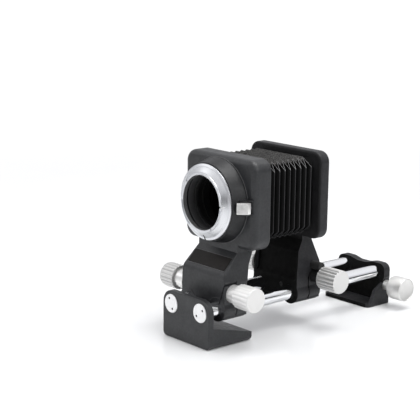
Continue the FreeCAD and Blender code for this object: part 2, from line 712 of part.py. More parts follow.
def rear_foot():
    body = new_body("RearFootCasting", 0, rear_foot_face, 0)
    half = d.rear_foot_width / 2
    pad(body, "y", -d.rear_tread, d.rear_upright, lambda o: o.rectangle(-half, 0, half, d.rear_floor))
    dress(body, "Fillet", d.foot_bottom_round,
          lambda e: runs_along(e, "z") and lies_at(e, "y", -d.rear_tread))
    ear = d.ear_half_width
    neck = d.ear_low - d.ear_slant
    pad(body, "y", 0, d.rear_upright, lambda o: o.polygon([
        (-half, 0), (half, 0), (half, neck), (ear, d.ear_low), (ear, d.ear_top),
        (d.saddle_start, d.ear_top), (d.saddle_end, d.saddle_height),
        (-d.saddle_end, d.saddle_height), (-d.saddle_start, d.ear_top),
        (-ear, d.ear_top), (-ear, d.ear_low), (-half, neck),
    ]))
    dress(body, "Fillet", d.saddle_round, lambda e: runs_along(e, "y") and (
        lies_at(e, "x", d.saddle_start) or lies_at(e, "x", -d.saddle_start)
        or lies_at(e, "x", d.saddle_end) or lies_at(e, "x", -d.saddle_end)))
    dress(body, "Fillet", d.ear_round, lambda e: runs_along(e, "y") and lies_at(e, "z", d.ear_top))
    for side in (-1, 1):
        near, far = (-half, -half + d.rear_gusset) if side < 0 else (half - d.rear_gusset, half)
        pad(body, "x", near, far, lambda o: o.polygon([
            (1, 0), (1, d.rear_gusset_height), (0, d.rear_gusset_height),
            (-d.gusset_knee_setback, d.gusset_knee_height),
            (-d.rear_tread + d.foot_bottom_round, d.rear_floor),
            (-d.rear_tread + d.foot_bottom_round, 0),
        ]))
    dress(body, "Fillet", d.rear_foot_round,
          lambda e: lies_at(e, "y", d.rear_upright) and e.BoundBox.ZMin > d.ear_low.number - 0.01)
    for side in (-1, 1):
        pocket(body, "y", 0, d.rod_rear_depth + d.seat_clearance,
               lambda o, side=side: o.circle(side * rod_x, d.rod_height, seated_rod))
    low = d.foot_slit_low
    high = d.rod_height - d.slit_rise
    inner = rod_x + d.slit_start
    outer = half + d.slit_overrun
    slot = (lambda o: o.polygon([
        (outer, low), (outer + d.slit_width, low), (inner + d.slit_width, high), (inner, high),
    ]))
    pocket(body, "y", 0, d.rear_upright, slot)
    reach = d.rod_radius
    pocket(body, "x", reach, half + 1,
           lambda o: o.circle(d.foot_lock_inset, d.foot_lock_height, d.stud_radius + d.running_clearance))
    return register("rear_foot", body)


# ---------------------------------------------------------------- castings of the standards

def frame_block(name, face, depth, corner, front_edge, back_edge):
    """A rounded rectangular frame, face first, centred on the lens axis."""
    body = new_body(name, 0, face, d.lens_height)
    across = d.frame_width / 2
    up = d.frame_height / 2
    pad(body, "y", 0, depth, lambda o: o.rectangle(-across, -up, across, up))
    dress(body, "Fillet", corner, lambda e: runs_along(e, "y"))
    dress(body, "Fillet", front_edge, lambda e: lies_at(e, "y", 0))
    dress(body, "Fillet", back_edge, lambda e: lies_at(e, "y", depth))
    return body


def window(name, start, depth):
    """The rounded window that takes an end of the bellows."""
    body = new_body(name, 0, start, d.lens_height)
    across = d.window_width / 2
    up = d.window_height / 2
    pad(body, "y", 0, depth, lambda o: o.rectangle(-across, -up, across, up))
    dress(body, "Fillet", d.window_corner, lambda e: runs_along(e, "y"))
    return body


def neck_outline(start):
    """Outline of a neck that narrows from the height start."""
    wide = d.carriage_half_width
    slim = d.neck_half_width
    return lambda outline: outline.polygon([
        (-wide, d.carriage_floor), (wide, d.carriage_floor), (wide, start),
        (slim, lean_top), (slim, neck_top), (-slim, neck_top),
        (-slim, lean_top), (-wide, start),
    ])


def front_neck():
    body = new_body("FrontNeck", 0, front_face, 0)
    back = d.front_neck_lean + d.front_frame_depth - d.neck_back_step
    wide = d.carriage_half_width + 1
    waist = d.front_carriage_length + d.neck_waist_step
    waist_height = frame_bottom - d.neck_waist_drop
    back_height = frame_bottom - d.neck_back_drop
    pad(body, "y", 0, back, neck_outline(lip_height - d.lip_start_drop))
    pocket(body, "x", -wide, wide, lambda o: o.polygon([
        (0, d.carriage_floor), (d.front_lip_lean, lip_height),
        (d.front_neck_lean, lean_top), (d.front_neck_lean, neck_top + 1),
        (-1, neck_top + 1), (-1, d.carriage_floor),
    ]))
    pocket(body, "x", -wide, wide, lambda o: o.polygon([
        (d.front_carriage_length, d.carriage_floor - 1), (d.front_carriage_length, d.neck_back_low),
        (waist, waist_height), (back, back_height),
        (back + 1, back_height), (back + 1, d.carriage_floor - 1),
    ]))
    dress(body, "Fillet", d.neck_waist_round,
          lambda e: lies_at(e, "y", waist) and lies_at(e, "z", waist_height))
    dress(body, "Fillet", d.lip_round,
          lambda e: lies_at(e, "y", d.front_lip_lean) and lies_at(e, "z", lip_height))
    dress(body, "Fillet", d.neck_edge, on_neck_face)
    length = d.nameplate_length
    run, rise = slope()
    foot_y = d.front_lip_lean + d.nameplate_rise * run - d.seat_clearance * run
    foot_z = lip_height + d.nameplate_rise * rise - d.seat_clearance * rise
    head_y = foot_y + (length + d.seat_clearance * 2) * run
    head_z = foot_z + (length + d.seat_clearance * 2) * rise
    deep_y = d.nameplate_recess * rise
    deep_z = d.nameplate_recess * run
    half = d.nameplate_half_width + d.seat_clearance
    pocket(body, "x", -half, half, lambda o: o.polygon([
        (foot_y + deep_y, foot_z - deep_z), (head_y + deep_y, head_z - deep_z),
        (head_y - rise, head_z + run), (foot_y - rise, foot_z + run),
    ]))
    return body


def on_neck_face(edge):
    """Whether an edge runs up one side of the front neck's face."""
    box = edge.BoundBox
    outer = min(abs(box.XMin), abs(box.XMax)) > d.neck_half_width.number - 0.01
    front = (box.YMin + box.YMax) / 2 < d.front_neck_lean.number
    return outer and front and box.ZLength > 3 and box.ZMax < lean_top.number + 0.1


def slope():
    """Run and rise of one millimetre up the front neck's leaning face."""
    along = d.front_neck_lean - d.front_lip_lean
    up = lean_top - lip_height
    length = root(along * along + up * up)
    return along / length, up / length


def nameplate():
    body = new_body("nameplate", 0, front_face, 0)
    run, rise = slope()
    foot_y = d.front_lip_lean + d.nameplate_rise * run
    foot_z = lip_height + d.nameplate_rise * rise
    head_y = foot_y + d.nameplate_length * run
    head_z = foot_z + d.nameplate_length * rise
    sunk = d.nameplate_recess - d.seat_clearance
    proud = d.nameplate_thickness - sunk
    half = d.nameplate_half_width
    pad(body, "x", -half, half, lambda o: o.polygon([
        (foot_y + sunk * rise, foot_z - sunk * run), (head_y + sunk * rise, head_z - sunk * run),
        (head_y - proud * rise, head_z + proud * run), (foot_y - proud * rise, foot_z + proud * run),
    ]))
    return register("nameplate", body)


def rear_neck():
    body = new_body("RearNeck", 0, rear_face, 0)
    back = d.rear_neck_lean + d.rear_frame_depth
    wide = d.carriage_half_width + 1
    deep = d.rear_carriage_length
    pad(body, "y", 0, deep, neck_outline(d.neck_start))
    pocket(body, "x", -wide, wide, lambda o: o.polygon([
        (0, d.rear_wall_low), (d.rear_wall_lean, frame_bottom - d.rear_wall_drop),
        (d.rear_neck_lean, lean_top), (d.rear_neck_lean, neck_top + 1),
        (-1, neck_top + 1), (-1, d.rear_wall_low),
    ]))
    pocket(body, "x", -wide, wide, lambda o: o.polygon([
        (deep, d.rear_flare_low), (deep + 1, d.rear_flare_low), (deep + 1, neck_top + 1),
        (back, neck_top + 1), (back, frame_bottom - d.rear_flare_drop),
    ]))
    half = d.rear_recess_half_width
    floor = d.rear_recess_depth
    recess_top = frame_bottom - d.rear_recess_drop
    pocket(body, "x", -half, half, lambda o: o.polygon([
        (-1, d.rear_recess_low - 1), (floor, d.rear_recess_low + floor),
        (floor + d.rear_wall_lean, recess_top), (-1, recess_top + 1),
    ]))
    return body


def slit(name, face, start, stop, cross, top):
    """The saw cuts that free a clamp ear: a slanting one along the rod and one across it."""
    body = new_body(name, 0, face, 0)
    low_x = rod_x + d.slit_start
    low_z = d.rod_height + d.slit_rise
    high_x = d.carriage_half_width + d.slit_overrun
    bottom = d.rod_height - d.rod_boss_radius - 1
    pad(body, "y", start, stop, lambda o: o.polygon([
        (low_x, low_z), (low_x + d.slit_width, low_z), (high_x + d.slit_width, top), (high_x, top),
    ]))
    pad(body, "y", cross, cross + d.slit_width, lambda o: o.polygon([
        (rod_x, bottom), (high_x + d.slit_width, bottom), (high_x + d.slit_width, top),
        (low_x + d.slit_width, low_z), (rod_x, low_z),
    ]))
    return body


def carriage_tools(name, face, length, drive, lock):
    """Bores and chambers that a carriage needs for rods, pinion, bush and lock stud."""
    wide = d.carriage_half_width
    tip = pitch_radius + d.gear_module + d.free_clearance
    tools = []
    for side in (-1, 1):
        tools.append(cylinder(f"{name}Rod", "y", running_rod, face - 1,
                              face + length + d.drive_boss_radius,
                              x=side * rod_x, z=d.rod_height))
    at = face + drive
    tools.append(cylinder(f"{name}Chamber", "x", tip, -wide, -d.chamber_end, y=at, z=drive_height))
    tools.append(cylinder(f"{name}Seat", "x", d.bush_seat_radius + d.seat_clearance,
                          -wide - 2, -wide + d.bush_seat_depth, y=at, z=drive_height))
    tools.append(cylinder(f"{name}Shaft", "x", d.shaft_radius + d.running_clearance,
                          -wide, -d.shaft_inner_end + d.free_clearance, y=at, z=drive_height))
    tools.append(cylinder(f"{name}Stud", "x", d.stud_radius + d.running_clearance,
                          d.stud_inner_end - d.free_clearance, wide + 2, y=face + lock, z=d.lock_height))
    return tools


def carriage_bosses(name, face, length, drive):
    bosses = []
    for side in (-1, 1):
        bosses.append(cylinder(f"{name}Boss", "y", d.rod_boss_radius, face, face + length,
                               x=side * rod_x, z=d.rod_height))
    bosses.append(cylinder(f"{name}DriveBoss", "x", d.drive_boss_radius,
                           -d.carriage_half_width, -d.drive_boss_end, y=face + drive, z=drive_height))
    return bosses


def ring_of_cylinders(name, radius, start, stop, circle, height):
    """Four cylinders along Y, on the diagonals round the lens axis."""
    ring = []
    for angle in (45, 135, 225, 315):
        ring.append(cylinder(name, "y", radius, start, stop,
                             x=circle * cosine(angle), z=height + circle * sine(angle)))
    return ring


def front_standard():
    frame = frame_block("FrontFrame", front_frame_face, d.front_frame_depth,
                        d.front_frame_corner, d.front_frame_edge, d.back_edge)
    bosses = carriage_bosses("Front", front_face, d.front_carriage_length, d.front_drive_inset)
    whole = join("FrontBlank", frame, front_neck(), *bosses)
    tools = carriage_tools("Front", front_face, d.front_carriage_length,
                           d.front_drive_inset, d.front_lock_inset)
    tools.append(slit("FrontSlit", front_face, -1, d.front_slit_station + d.slit_width,
                      d.front_slit_station, d.front_slit_top))
    tools.append(cylinder("FrontBore", "y", d.front_bore_radius, front_frame_face - 1,
                          front_frame_back, z=d.lens_height))
    tools.append(window("FrontWindow", front_frame_back - d.front_window_depth, d.front_window_depth + 1))
    tools.append(cylinder("SpringSeat", "y", d.spring_radius + d.spring_wire + d.seat_clearance,
                          front_frame_face - 1, front_frame_face + d.spring_seat,
                          x=d.spring_offset, z=d.lens_height))
    tools += ring_of_cylinders("TurretHole", d.turret_screw_radius + d.seat_clearance,
                               front_frame_face - 1, front_frame_back,
                               d.turret_screw_circle, d.lens_height)
    return register("front_standard", cut_away("FrontCasting", whole, *tools))


def rear_standard():
    frame = frame_block("RearFrame", rear_frame_face, d.rear_frame_depth,
                        d.rear_frame_corner, d.rear_frame_edge, d.rear_frame_edge)
    bosses = carriage_bosses("Rear", rear_face, d.rear_carriage_length, d.rear_drive_inset)
    whole = join("RearBlank", frame, rear_neck(), *bosses)
    tools = carriage_tools("Rear", rear_face, d.rear_carriage_length,
                           d.rear_drive_inset, d.rear_lock_inset)
    tools.append(slit("RearSlit", rear_face, d.rear_slit_station, d.rear_carriage_length + 1,
                      d.rear_slit_station, d.rear_slit_top))
    tools.append(cylinder("TableBore", "y", d.turntable_bore + d.running_clearance,
                          rear_frame_face, rear_frame_back + 1, z=d.lens_height))
    tools.append(window("RearWindow", rear_frame_face - 1, d.rear_window_depth + 1))
    tools.append(cylinder("GibHole", "y", d.gib_screw_radius + d.seat_clearance,
                          rear_face - 1, rear_face + d.gib_screw_length,
                          x=d.gib_screw_offset, z=d.gib_screw_height))
    tools.append(cylinder("CapHole", "x", d.cap_shank + d.running_clearance,
                          rod_x, d.carriage_half_width + 1,
                          y=rear_face + d.cap_station, z=d.cap_height))
    return register("rear_standard", cut_away("RearCasting", whole, *tools))


# ---------------------------------------------------------------- lens side

def lens_turret():
    body = new_body("lens_turret", 0, turret_face, d.lens_height)
    deep = d.turret_depth
    revolve(body, [
        (0, d.turret_bore), (0, d.turret_front_radius), (deep - d.turret_foot, d.turret_base_radius),
        (deep, d.turret_base_radius), (deep, d.turret_bore),
    ])
    inner = d.release_height / 2 + d.free_clearance
    outer = inner + d.cheek_thickness
    back = deep - d.running_clearance
    near = d.turret_front_radius - 1
    lip = d.release_front + d.cheek_setback
    tip = d.release_inner + d.release_width
    for side in (-1, 1):
        low, high = (inner, outer) if side > 0 else (-outer, -inner)
        pad(body, "z", low, high, lambda o: o.polygon([
            (near, lip), (d.release_inner, lip),
            (tip, back - d.cheek_thickness), (tip, back), (near, back),
        ]))
    gap = d.free_clearance
    across = d.arm_height / 2 + gap
    pocket(body, "z", -across, across, lambda o: o.rectangle(
        d.pin_circle - d.arm_end - gap, d.arm_front - gap,
        d.turret_base_radius + 1, d.arm_front + d.arm_depth + d.release_travel + gap,
    ))
    pocket(body, "y", 0, d.arm_front, lambda o: o.circle(d.pin_circle, 0, d.pin_radius + gap))
    for angle in (45, 135, 225, 315):
        x = d.turret_screw_circle * cosine(angle)
        z = d.turret_screw_circle * sine(angle)
        pocket(body, "y", deep - d.turret_screw_grip - d.seat_clearance, deep,
               lambda o, x=x, z=z: o.circle(x, z, d.turret_screw_radius + d.seat_clearance))
    return register("lens_turret", body)


def bayonet_ring():
    body = new_body("bayonet_ring", 0, turret_face - d.seat_clearance, d.lens_height)
    lip = -d.ring_height
    wall = d.throat_length - d.ring_height
    revolve(body, [
        (0, d.throat_groove), (0, d.ring_radius), (-d.ring_rim, d.ring_radius),
        (-d.ring_bevel_height, d.ring_bevel_radius), (lip, d.throat_radius + d.ring_lip),
        (lip, d.throat_radius), (wall, d.throat_radius), (wall, d.throat_groove),
    ])
    hole = d.pin_radius + d.free_clearance
    pocket(body, "y", lip, 0, lambda o: o.circle(d.pin_circle, 0, hole))
    pocket(body, "y", lip, lip + d.notch_depth,
           lambda o: o.rectangle(d.throat_radius / 2, -hole, d.pin_circle, hole))
    return register("bayonet_ring", body)


def bayonet_spring():
    body = new_body("bayonet_spring", 0, turret_face - d.seat_clearance * 2, d.lens_height)
    outer = d.throat_groove - d.seat_clearance
    inner = outer - d.spring_ring_width
    revolve(body, [(0, inner), (0, outer), (-d.spring_ring_depth, outer), (-d.spring_ring_depth, inner)])
    return register("bayonet_spring", body)


def baffle_tube():
    body = new_body("baffle_tube", 0, turret_face + d.seat_clearance, d.lens_height)
    outer = d.turret_bore - d.seat_clearance
    first = outer - d.baffle_wall
    second = first - d.baffle_step
    third = second - d.baffle_step
    section = d.baffle_section
    revolve(body, [
        (0, first), (0, outer), (section * 3, outer), (section * 3, third), (section * 2, third),
        (section * 2, second), (section, second), (section, first),
    ])
    return register("baffle_tube", body)


def screws(name, shank, head, floor, grip_end, head_depth, circle, height, recess):
    pieces = []
    stems = ring_of_cylinders(f"{name}Stem", shank, grip_end, floor, circle, height)
    heads = ring_of_cylinders(f"{name}Head", head, floor, floor + head_depth, circle, height)
    slots = ring_of_cylinders(f"{name}Slot", shank * 0.6, floor + head_depth - recess,
                              floor + head_depth, circle, height)
    for index, stem in enumerate(stems):
        blank = join(f"{name}Blank{index}", stem, heads[index])
        pieces.append(cut_away(f"{name}Piece{index}", blank, slots[index]))
    return register(name, group(name, pieces))


def release_key():
    body = new_body("release_key", 0, turret_face, d.lens_height)
    half = d.release_height / 2
    front = d.release_front
    back = d.turret_depth - d.release_travel - d.free_clearance
    left = d.release_inner
    right = left + d.release_width
    face = root(d.release_width * d.release_width + d.release_reach * d.release_reach)
    ridge_x = left + d.release_width / 2 + d.release_crown * d.release_reach / face
    ridge_y = front + d.release_reach / 2 - d.release_crown * d.release_width / face
    pad(body, "z", -half, half, lambda o: o.polygon([
        (left, front), (ridge_x, ridge_y), (right, front + d.release_reach), (right, back), (left, back),
    ]))
    dress(body, "Fillet", d.release_round,
          lambda e: lies_at(e, "x", right) and (lies_at(e, "z", half) or lies_at(e, "z", -half)))
    tail = d.pin_circle - d.arm_end
    arm = d.arm_height / 2
    pad(body, "z", -arm, arm, lambda o: o.rectangle(
        tail, d.arm_front, left + 1, d.arm_front + d.arm_depth,
    ))
    pocket(body, "y", d.arm_front, d.arm_front + d.pin_grip,
           lambda o: o.circle(d.pin_circle, 0, d.pin_radius + d.seat_clearance))
    pocket(body, "y", back - d.spring_seat, back,
           lambda o: o.circle(d.spring_offset, 0, d.spring_radius + d.spring_wire + d.seat_clearance))
    return register("release_key", body)


def lock_pin():
    body = new_body("lock_pin", d.pin_circle, turret_face, d.lens_height)
    slant = (d.ring_height - d.ring_bevel_height) / (d.ring_bevel_radius - d.throat_radius - d.ring_lip)
    surface = -d.ring_height + slant * (d.pin_circle - d.throat_radius - d.ring_lip)
    start = surface - d.pin_proud
    pad(body, "y", start, d.arm_front + d.pin_grip - d.seat_clearance,
        lambda o: o.circle(0, 0, d.pin_radius))
    dress(body, "Chamfer", d.pin_edge, lambda e: lies_at(e, "y", start))
    return register("lock_pin", body)


def release_spring():
    """The return spring, close-wound, as a sleeve with a ridge for each turn."""
    start = turret_face + d.turret_depth - d.release_travel - d.free_clearance - d.spring_seat
    stop = front_frame_face + d.spring_seat
    body = new_body("release_spring", d.spring_offset, start, d.lens_height)
    gap = d.seat_clearance
    turn = (stop - start - gap * 2) / d.spring_turns
    profile = [(gap, d.spring_radius - d.spring_wire)]
    for index in range(int(d.spring_turns.number)):
        profile.append((gap + turn * index, d.spring_radius))
        profile.append((gap + turn * (index + 0.5), d.spring_radius + d.spring_wire))
    end = gap + turn * d.spring_turns
    profile += [(end, d.spring_radius), (end, d.spring_radius - d.spring_wire)]
    revolve(body, profile)
    return register("release_spring", body)


# ---------------------------------------------------------------- bellows


def folds(crest, first):
    """Half outline of the cloth along the bellows, with a crest at every other half pleat after first."""
    step = (d.bellows_length - d.bellows_lead - d.bellows_tail) / d.pleat_count / 2
    tuck = d.holder_inset - d.free_clearance
    hollow = crest - d.fold_depth
    points = [(-tuck, hollow)]
    for index in range(first, int(d.pleat_count.number) * 2 + 1 - first):
        points.append((d.bellows_lead + step * index, crest if (index - first) % 2 else hollow))
    return points + [(d.bellows_length + tuck, hollow)]


def folded(name, inset):
    """Cloth folded out at its sides where it is folded in above and below, set inward by inset."""
    half_width = d.pleat_half_width - inset
    half_height = d.pleat_half_height - inset
    sides = folds(half_width, 0)
    covers = folds(half_height, 1)
    plan = new_body(f"{name}Plan", 0, front_frame_back, d.lens_height)
    pad(plan, "z", -half_height, half_height, lambda o: o.polygon(
        [(x, y) for y, x in sides] + [(-x, y) for y, x in reversed(sides)]))
    profile = new_body(f"{name}Profile", 0, front_frame_back, d.lens_height)
    pad(profile, "x", -half_width, half_width, lambda o: o.polygon(
        covers + [(y, -z) for y, z in reversed(covers)]))
    return meet(name, plan, profile)


def bellows():
    skin = folded("BellowsSkin", 0)
    air = folded("BellowsAir", d.bellows_wall)
    return register("bellows", cut_away("Bellows", skin, air))


def bellows_holder(name, start):
    body = new_body(name, 0, start, d.lens_height)
    across = d.window_width / 2 - d.running_clearance
    up = d.window_height / 2 - d.running_clearance
    pad(body, "y", 0, d.holder_thickness, lambda o: o.rectangle(-across, -up, across, up))
    dress(body, "Fillet", d.window_corner, lambda e: runs_along(e, "y"))
    open_x = d.holder_width / 2
    open_z = d.holder_height / 2
    pocket(body, "y", 0, d.holder_thickness, lambda o: o.rectangle(-open_x, -open_z, open_x, open_z))
    return register(name, body)


# ---------------------------------------------------------------- camera side

def turntable():
    body = new_body("turntable", 0, rear_frame_back, d.lens_height)
    gap = d.free_clearance
    front = -d.rear_frame_depth + d.rear_window_depth - gap
    revolve(body, [
        (front, d.turntable_throat), (front, d.turntable_bore), (gap, d.turntable_bore),
        (gap, d.turntable_radius), (gap + d.turntable_depth, d.turntable_radius),
        (gap + d.turntable_depth, d.turntable_throat),
    ])
    dress(body, "Chamfer", d.turntable_edge,
          lambda e: lies_at(e, "y", gap + d.turntable_depth) and e.BoundBox.XMax > d.turntable_bore.number)
    return register("turntable", body)


def turntable_retainer():
    body = new_body("turntable_retainer", 0, rear_frame_back, d.lens_height)
    back = -d.rear_frame_depth + d.rear_window_depth - d.free_clearance - d.seat_clearance
    front = back - d.retainer_depth
    revolve(body, [
        (front, d.turntable_throat), (front, d.retainer_radius),
        (back, d.retainer_radius), (back, d.turntable_throat),
    ])
    return register("turntable_retainer", body)


def camera_bayonet():
    start = rear_frame_back + d.free_clearance + d.turntable_depth + d.seat_clearance
    body = new_body("camera_bayonet", 0, start, d.lens_height)
    bore = d.register_radius - d.register_wall
    flange = d.camera_flange_depth
    end = flange + d.register_length
    revolve(body, [
        (0, bore), (0, d.camera_flange_radius), (flange, d.camera_flange_radius),
        (flange, d.register_radius), (end, d.register_radius), (end, bore),
    ])
    lug = pad(body, "y", end - d.lug_thickness, end, lambda o: o.rectangle(
        -d.lug_width / 2, d.register_radius - d.lug_root, d.lug_width / 2, d.lug_radius * 1.1,
    ))
    polar(body, lug, "y", 3)
    pocket(body, "y", end - d.lug_thickness, end, lambda o: o.circle(
        0, 0, d.lug_radius).circle(0, 0, d.lug_radius * 1.3))
    for angle in (45, 135, 225, 315):
        x = d.camera_screw_circle * cosine(angle)
        z = d.camera_screw_circle * sine(angle)
        pocket(body, "y", 0, flange,
               lambda o, x=x, z=z: o.circle(x, z, d.camera_screw_radius + d.seat_clearance))
    return register("camera_bayonet", body)


# ---------------------------------------------------------------- knobs, shafts and small screws

def turned_knob(name, start, stop, radius, bore, grip, neck=None, x_side=1, y=0, z=0):
    """A knob along X, fluted unless it has a neck, from its inner end to its outer face."""
    body = new_body(name, 0, y, z)
    edge = d.knob_chamfer
    near = x_side * as_size(start)
    far = x_side * as_size(stop)
    step = x_side * edge
    if neck is None:
        profile = [(near, 0), (near, radius - edge), (near + step, radius)]
    else:
        neck_radius, neck_length, shoulder = neck
        collar = near + x_side * neck_length
        profile = [(near, 0), (near, neck_radius), (collar, neck_radius),
                   (collar + x_side * shoulder, radius)]
    profile += [(far - step, radius), (far, radius - edge), (far, 0)]
    outline = Outline(body, "z")
    outline.polygon(profile)
    turned = body.newObject("PartDesign::Revolution", "Turned")
    turned.Profile = outline.sketch
    turned.ReferenceAxis = (origin_feature(body, AXES["x"]), [""])
    turned.Angle = 360
    doc.recompute()
    if neck is None:
        low, high = (near, far) if x_side > 0 else (far, near)
        floor = radius - d.flute_depth
        flute = pocket(body, "x", low, high, lambda o: o.polygon([
            (-d.flute_floor / 2, floor), (d.flute_floor / 2, floor),
            (d.flute_mouth / 2, radius), (d.flute_mouth / 2, radius + 1),
            (-d.flute_mouth / 2, radius + 1), (-d.flute_mouth / 2, radius),
        ]))
        polar(body, flute, "x", d.flute_count)
    deep = near + x_side * grip
    low, high = (near, deep) if x_side > 0 else (deep, near)
    pocket(body, "x", low, high, lambda o: o.circle(0, 0, bore + d.seat_clearance))
    return register(name, body)


def drive(prefix, station):
    """Pinion shaft, bush and knob of one standard."""
    wide = d.carriage_half_width
    bush_end = wide + d.drive_bush_length
    knob_start = bush_end + d.free_clearance
    shaft = new_body(f"{prefix}_pinion_shaft", 0, station, drive_height)
    half = d.pinion_width / 2
    tip = pitch_radius + d.gear_module
    foot = pitch_radius - d.gear_module * 1.25
    middle = tooth_pitch / 4 - d.tooth_backlash / 4
    top = d.gear_module * 0.33 - d.tooth_backlash / 4
    pad(shaft, "x", -rod_x - half, -rod_x + half, lambda o: o.circle(0, 0, foot))
    tooth = pad(shaft, "x", -rod_x - half, -rod_x + half, lambda o: o.polygon([
        (-middle, -foot + d.gear_module), (middle, -foot + d.gear_module), (middle, -pitch_radius),
        (top, -tip), (-top, -tip), (-middle, -pitch_radius),
    ]))
    polar(shaft, tooth, "x", d.pinion_teeth)
    end = knob_start + d.shaft_grip
    pad(shaft, "x", -end, -d.shaft_inner_end, lambda o: o.circle(0, 0, d.shaft_radius))
    rolled = (station - rack_start - tooth_pitch / 2) / pitch_radius * math.degrees(1)
    shaft.Placement.Rotation = FreeCAD.Rotation(V(1, 0, 0), 1)
    shaft.setExpression("Placement.Rotation.Angle", f"-({rolled.text}) * 1 deg")
    register(f"{prefix}_pinion_shaft", shaft)

    bush = new_body(f"{prefix}_drive_bush", 0, station, drive_height)
    pad(bush, "x", -wide, -wide + d.bush_seat_depth, lambda o: o.circle(0, 0, d.bush_seat_radius))
    pad(bush, "x", -bush_end, -wide, lambda o: o.circle(0, 0, d.drive_bush_radius))
    pad(bush, "x", -wide, -d.bush_nose_end, lambda o: o.circle(0, 0, d.bush_nose_radius))
    dress(bush, "Chamfer", d.collar_edge, lambda e: lies_at(e, "x", -bush_end))
    pocket(bush, "x", -bush_end, -d.bush_nose_end,
           lambda o: o.circle(0, 0, d.shaft_radius + d.running_clearance))
    register(f"{prefix}_drive_bush", bush)

    turned_knob(f"{prefix}_drive_knob", knob_start, knob_start + d.drive_knob_length,
                d.drive_knob_radius, d.shaft_radius, d.shaft_grip + d.seat_clearance,
                x_side=-1, y=station, z=drive_height)


def lock(prefix, station, collar_radius, collar_length, knob_length):
    """Clamp stud, collar and knob of one standard."""
    wide = d.carriage_half_width + d.seat_clearance
    collar_end = wide + collar_length
    knob_start = collar_end + d.free_clearance
    collar = new_body(f"{prefix}_lock_collar", 0, station, d.lock_height)
    pad(collar, "x", wide, collar_end, lambda o: o.circle(0, 0, collar_radius))
    dress(collar, "Chamfer", d.collar_edge, lambda e: lies_at(e, "x", collar_end))
    pocket(collar, "x", wide, collar_end,
           lambda o: o.circle(0, 0, d.stud_radius + d.running_clearance))
    register(f"{prefix}_lock_collar", collar)
    register(f"{prefix}_lock_stud", cylinder(
        f"{prefix}_lock_stud", "x", d.stud_radius, d.stud_inner_end, knob_start + d.stud_grip,
        y=station, z=d.lock_height,
    ))
    turned_knob(f"{prefix}_lock_knob", knob_start, knob_start + knob_length, d.lock_knob_radius,
                d.stud_radius, d.stud_grip + d.seat_clearance, y=station, z=d.lock_height)


def gib_screw():
    start = rear_face
    stem = cylinder("GibStem", "y", d.gib_screw_radius, start, start + d.gib_screw_length - d.seat_clearance,
                    x=d.gib_screw_offset, z=d.gib_screw_height)
    reach = d.gib_screw_radius + 1
    slot = block("GibSlot", (d.gib_screw_offset - reach, d.gib_screw_offset + reach),
                 (start - 1, start + d.gib_slot_depth),
                 (d.gib_screw_height - d.gib_slot_width / 2, d.gib_screw_height + d.gib_slot_width / 2))
    return register("gib_screw", cut_away("GibScrew", stem, slot))


def friction_screw():
    wide = d.carriage_half_width + d.seat_clearance
    body = new_body("friction_screw", 0, rear_face + d.cap_station, d.cap_height)
    pad(body, "x", wide, wide + d.cap_length, lambda o: o.circle(0, 0, d.cap_radius))
    dress(body, "Chamfer", d.collar_edge, lambda e: lies_at(e, "x", wide + d.cap_length))
    pad(body, "x", rod_x + 1, wide + 1, lambda o: o.circle(0, 0, d.cap_shank))
    return register("friction_screw", body)


def foot_clamp():
    station = rear_foot_face + d.foot_lock_inset
    start = d.rear_foot_width / 2 + d.seat_clearance
    stop = start + d.foot_neck_length + d.foot_knob_length
    register("foot_clamp_stud", cylinder(
        "foot_clamp_stud", "x", d.stud_radius, d.rod_radius + d.free_clearance, start + d.stud_grip,
        y=station, z=d.foot_lock_height,
    ))
    turned_knob("foot_clamp_knob", start, stop, d.foot_knob_radius, d.stud_radius,
                d.stud_grip + d.seat_clearance,
                neck=(d.foot_neck_radius, d.foot_neck_length, d.foot_shoulder),
                y=station, z=d.foot_lock_height)


# ---------------------------------------------------------------- the unit

front_foot()
tripod_bush()
rod("left_rod", -1)
rod("right_rod", 1)
rack()
rod_screw("left_rod_screw", -1, d.left_screw_turn)
rod_screw("right_rod_screw", 1, d.right_screw_turn)
rear_foot()
foot_clamp()

front_standard()
nameplate()
lens_turret()
bayonet_ring()
bayonet_spring()
baffle_tube()
window_floor = front_frame_back - d.front_window_depth
screws("turret_screws", d.turret_screw_radius, d.turret_screw_head, window_floor,
       front_frame_face - d.turret_screw_grip, d.turret_screw_head_depth,
       d.turret_screw_circle, d.lens_height, d.turret_socket_depth)
release_key()
lock_pin()
release_spring()
drive("front", front_face + d.front_drive_inset)
lock("front", front_face + d.front_lock_inset, d.front_collar_radius,
     d.front_collar_length, d.front_lock_length)

bellows()
bellows_holder("front_bellows_frame", front_frame_back - d.holder_inset - d.holder_thickness)
bellows_holder("rear_bellows_frame", rear_frame_face + d.holder_inset)

rear_standard()
gib_screw()
friction_screw()
drive("rear", rear_face + d.rear_drive_inset)
lock("rear", rear_face + d.rear_lock_inset, d.rear_collar_radius,
     d.rear_collar_length, d.rear_lock_length)
turntable()
turntable_retainer()
camera_bayonet()
screw_seat = rear_frame_back + d.free_clearance + d.turntable_depth + d.seat_clearance
register("camera_mount_screws", group("camera_mount_screws", ring_of_cylinders(
    "CameraScrew", d.camera_screw_radius, screw_seat + d.seat_clearance,
    screw_seat + d.camera_flange_depth, d.camera_screw_circle, d.lens_height,
)))

# ---------------------------------------------------------------- check and export

doc.recompute()
for thing in doc.Objects:
    bad = [state for state in thing.State if state in ("Invalid", "Error")]
    assert not bad, f"{thing.Label}: {bad}"
os.makedirs("parts", exist_ok=True)
for name, thing in nodes.items():
    shape = thing.Shape
    assert not shape.isNull(), f"{name} is empty"
    assert shape.isValid(), f"{name} is not valid"
    shape.exportStep(f"parts/{name}.step")
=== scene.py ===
import json
from math import atan2, cos, hypot, pi, radians, sin

import bmesh
import bpy
from mathutils import Matrix, Vector

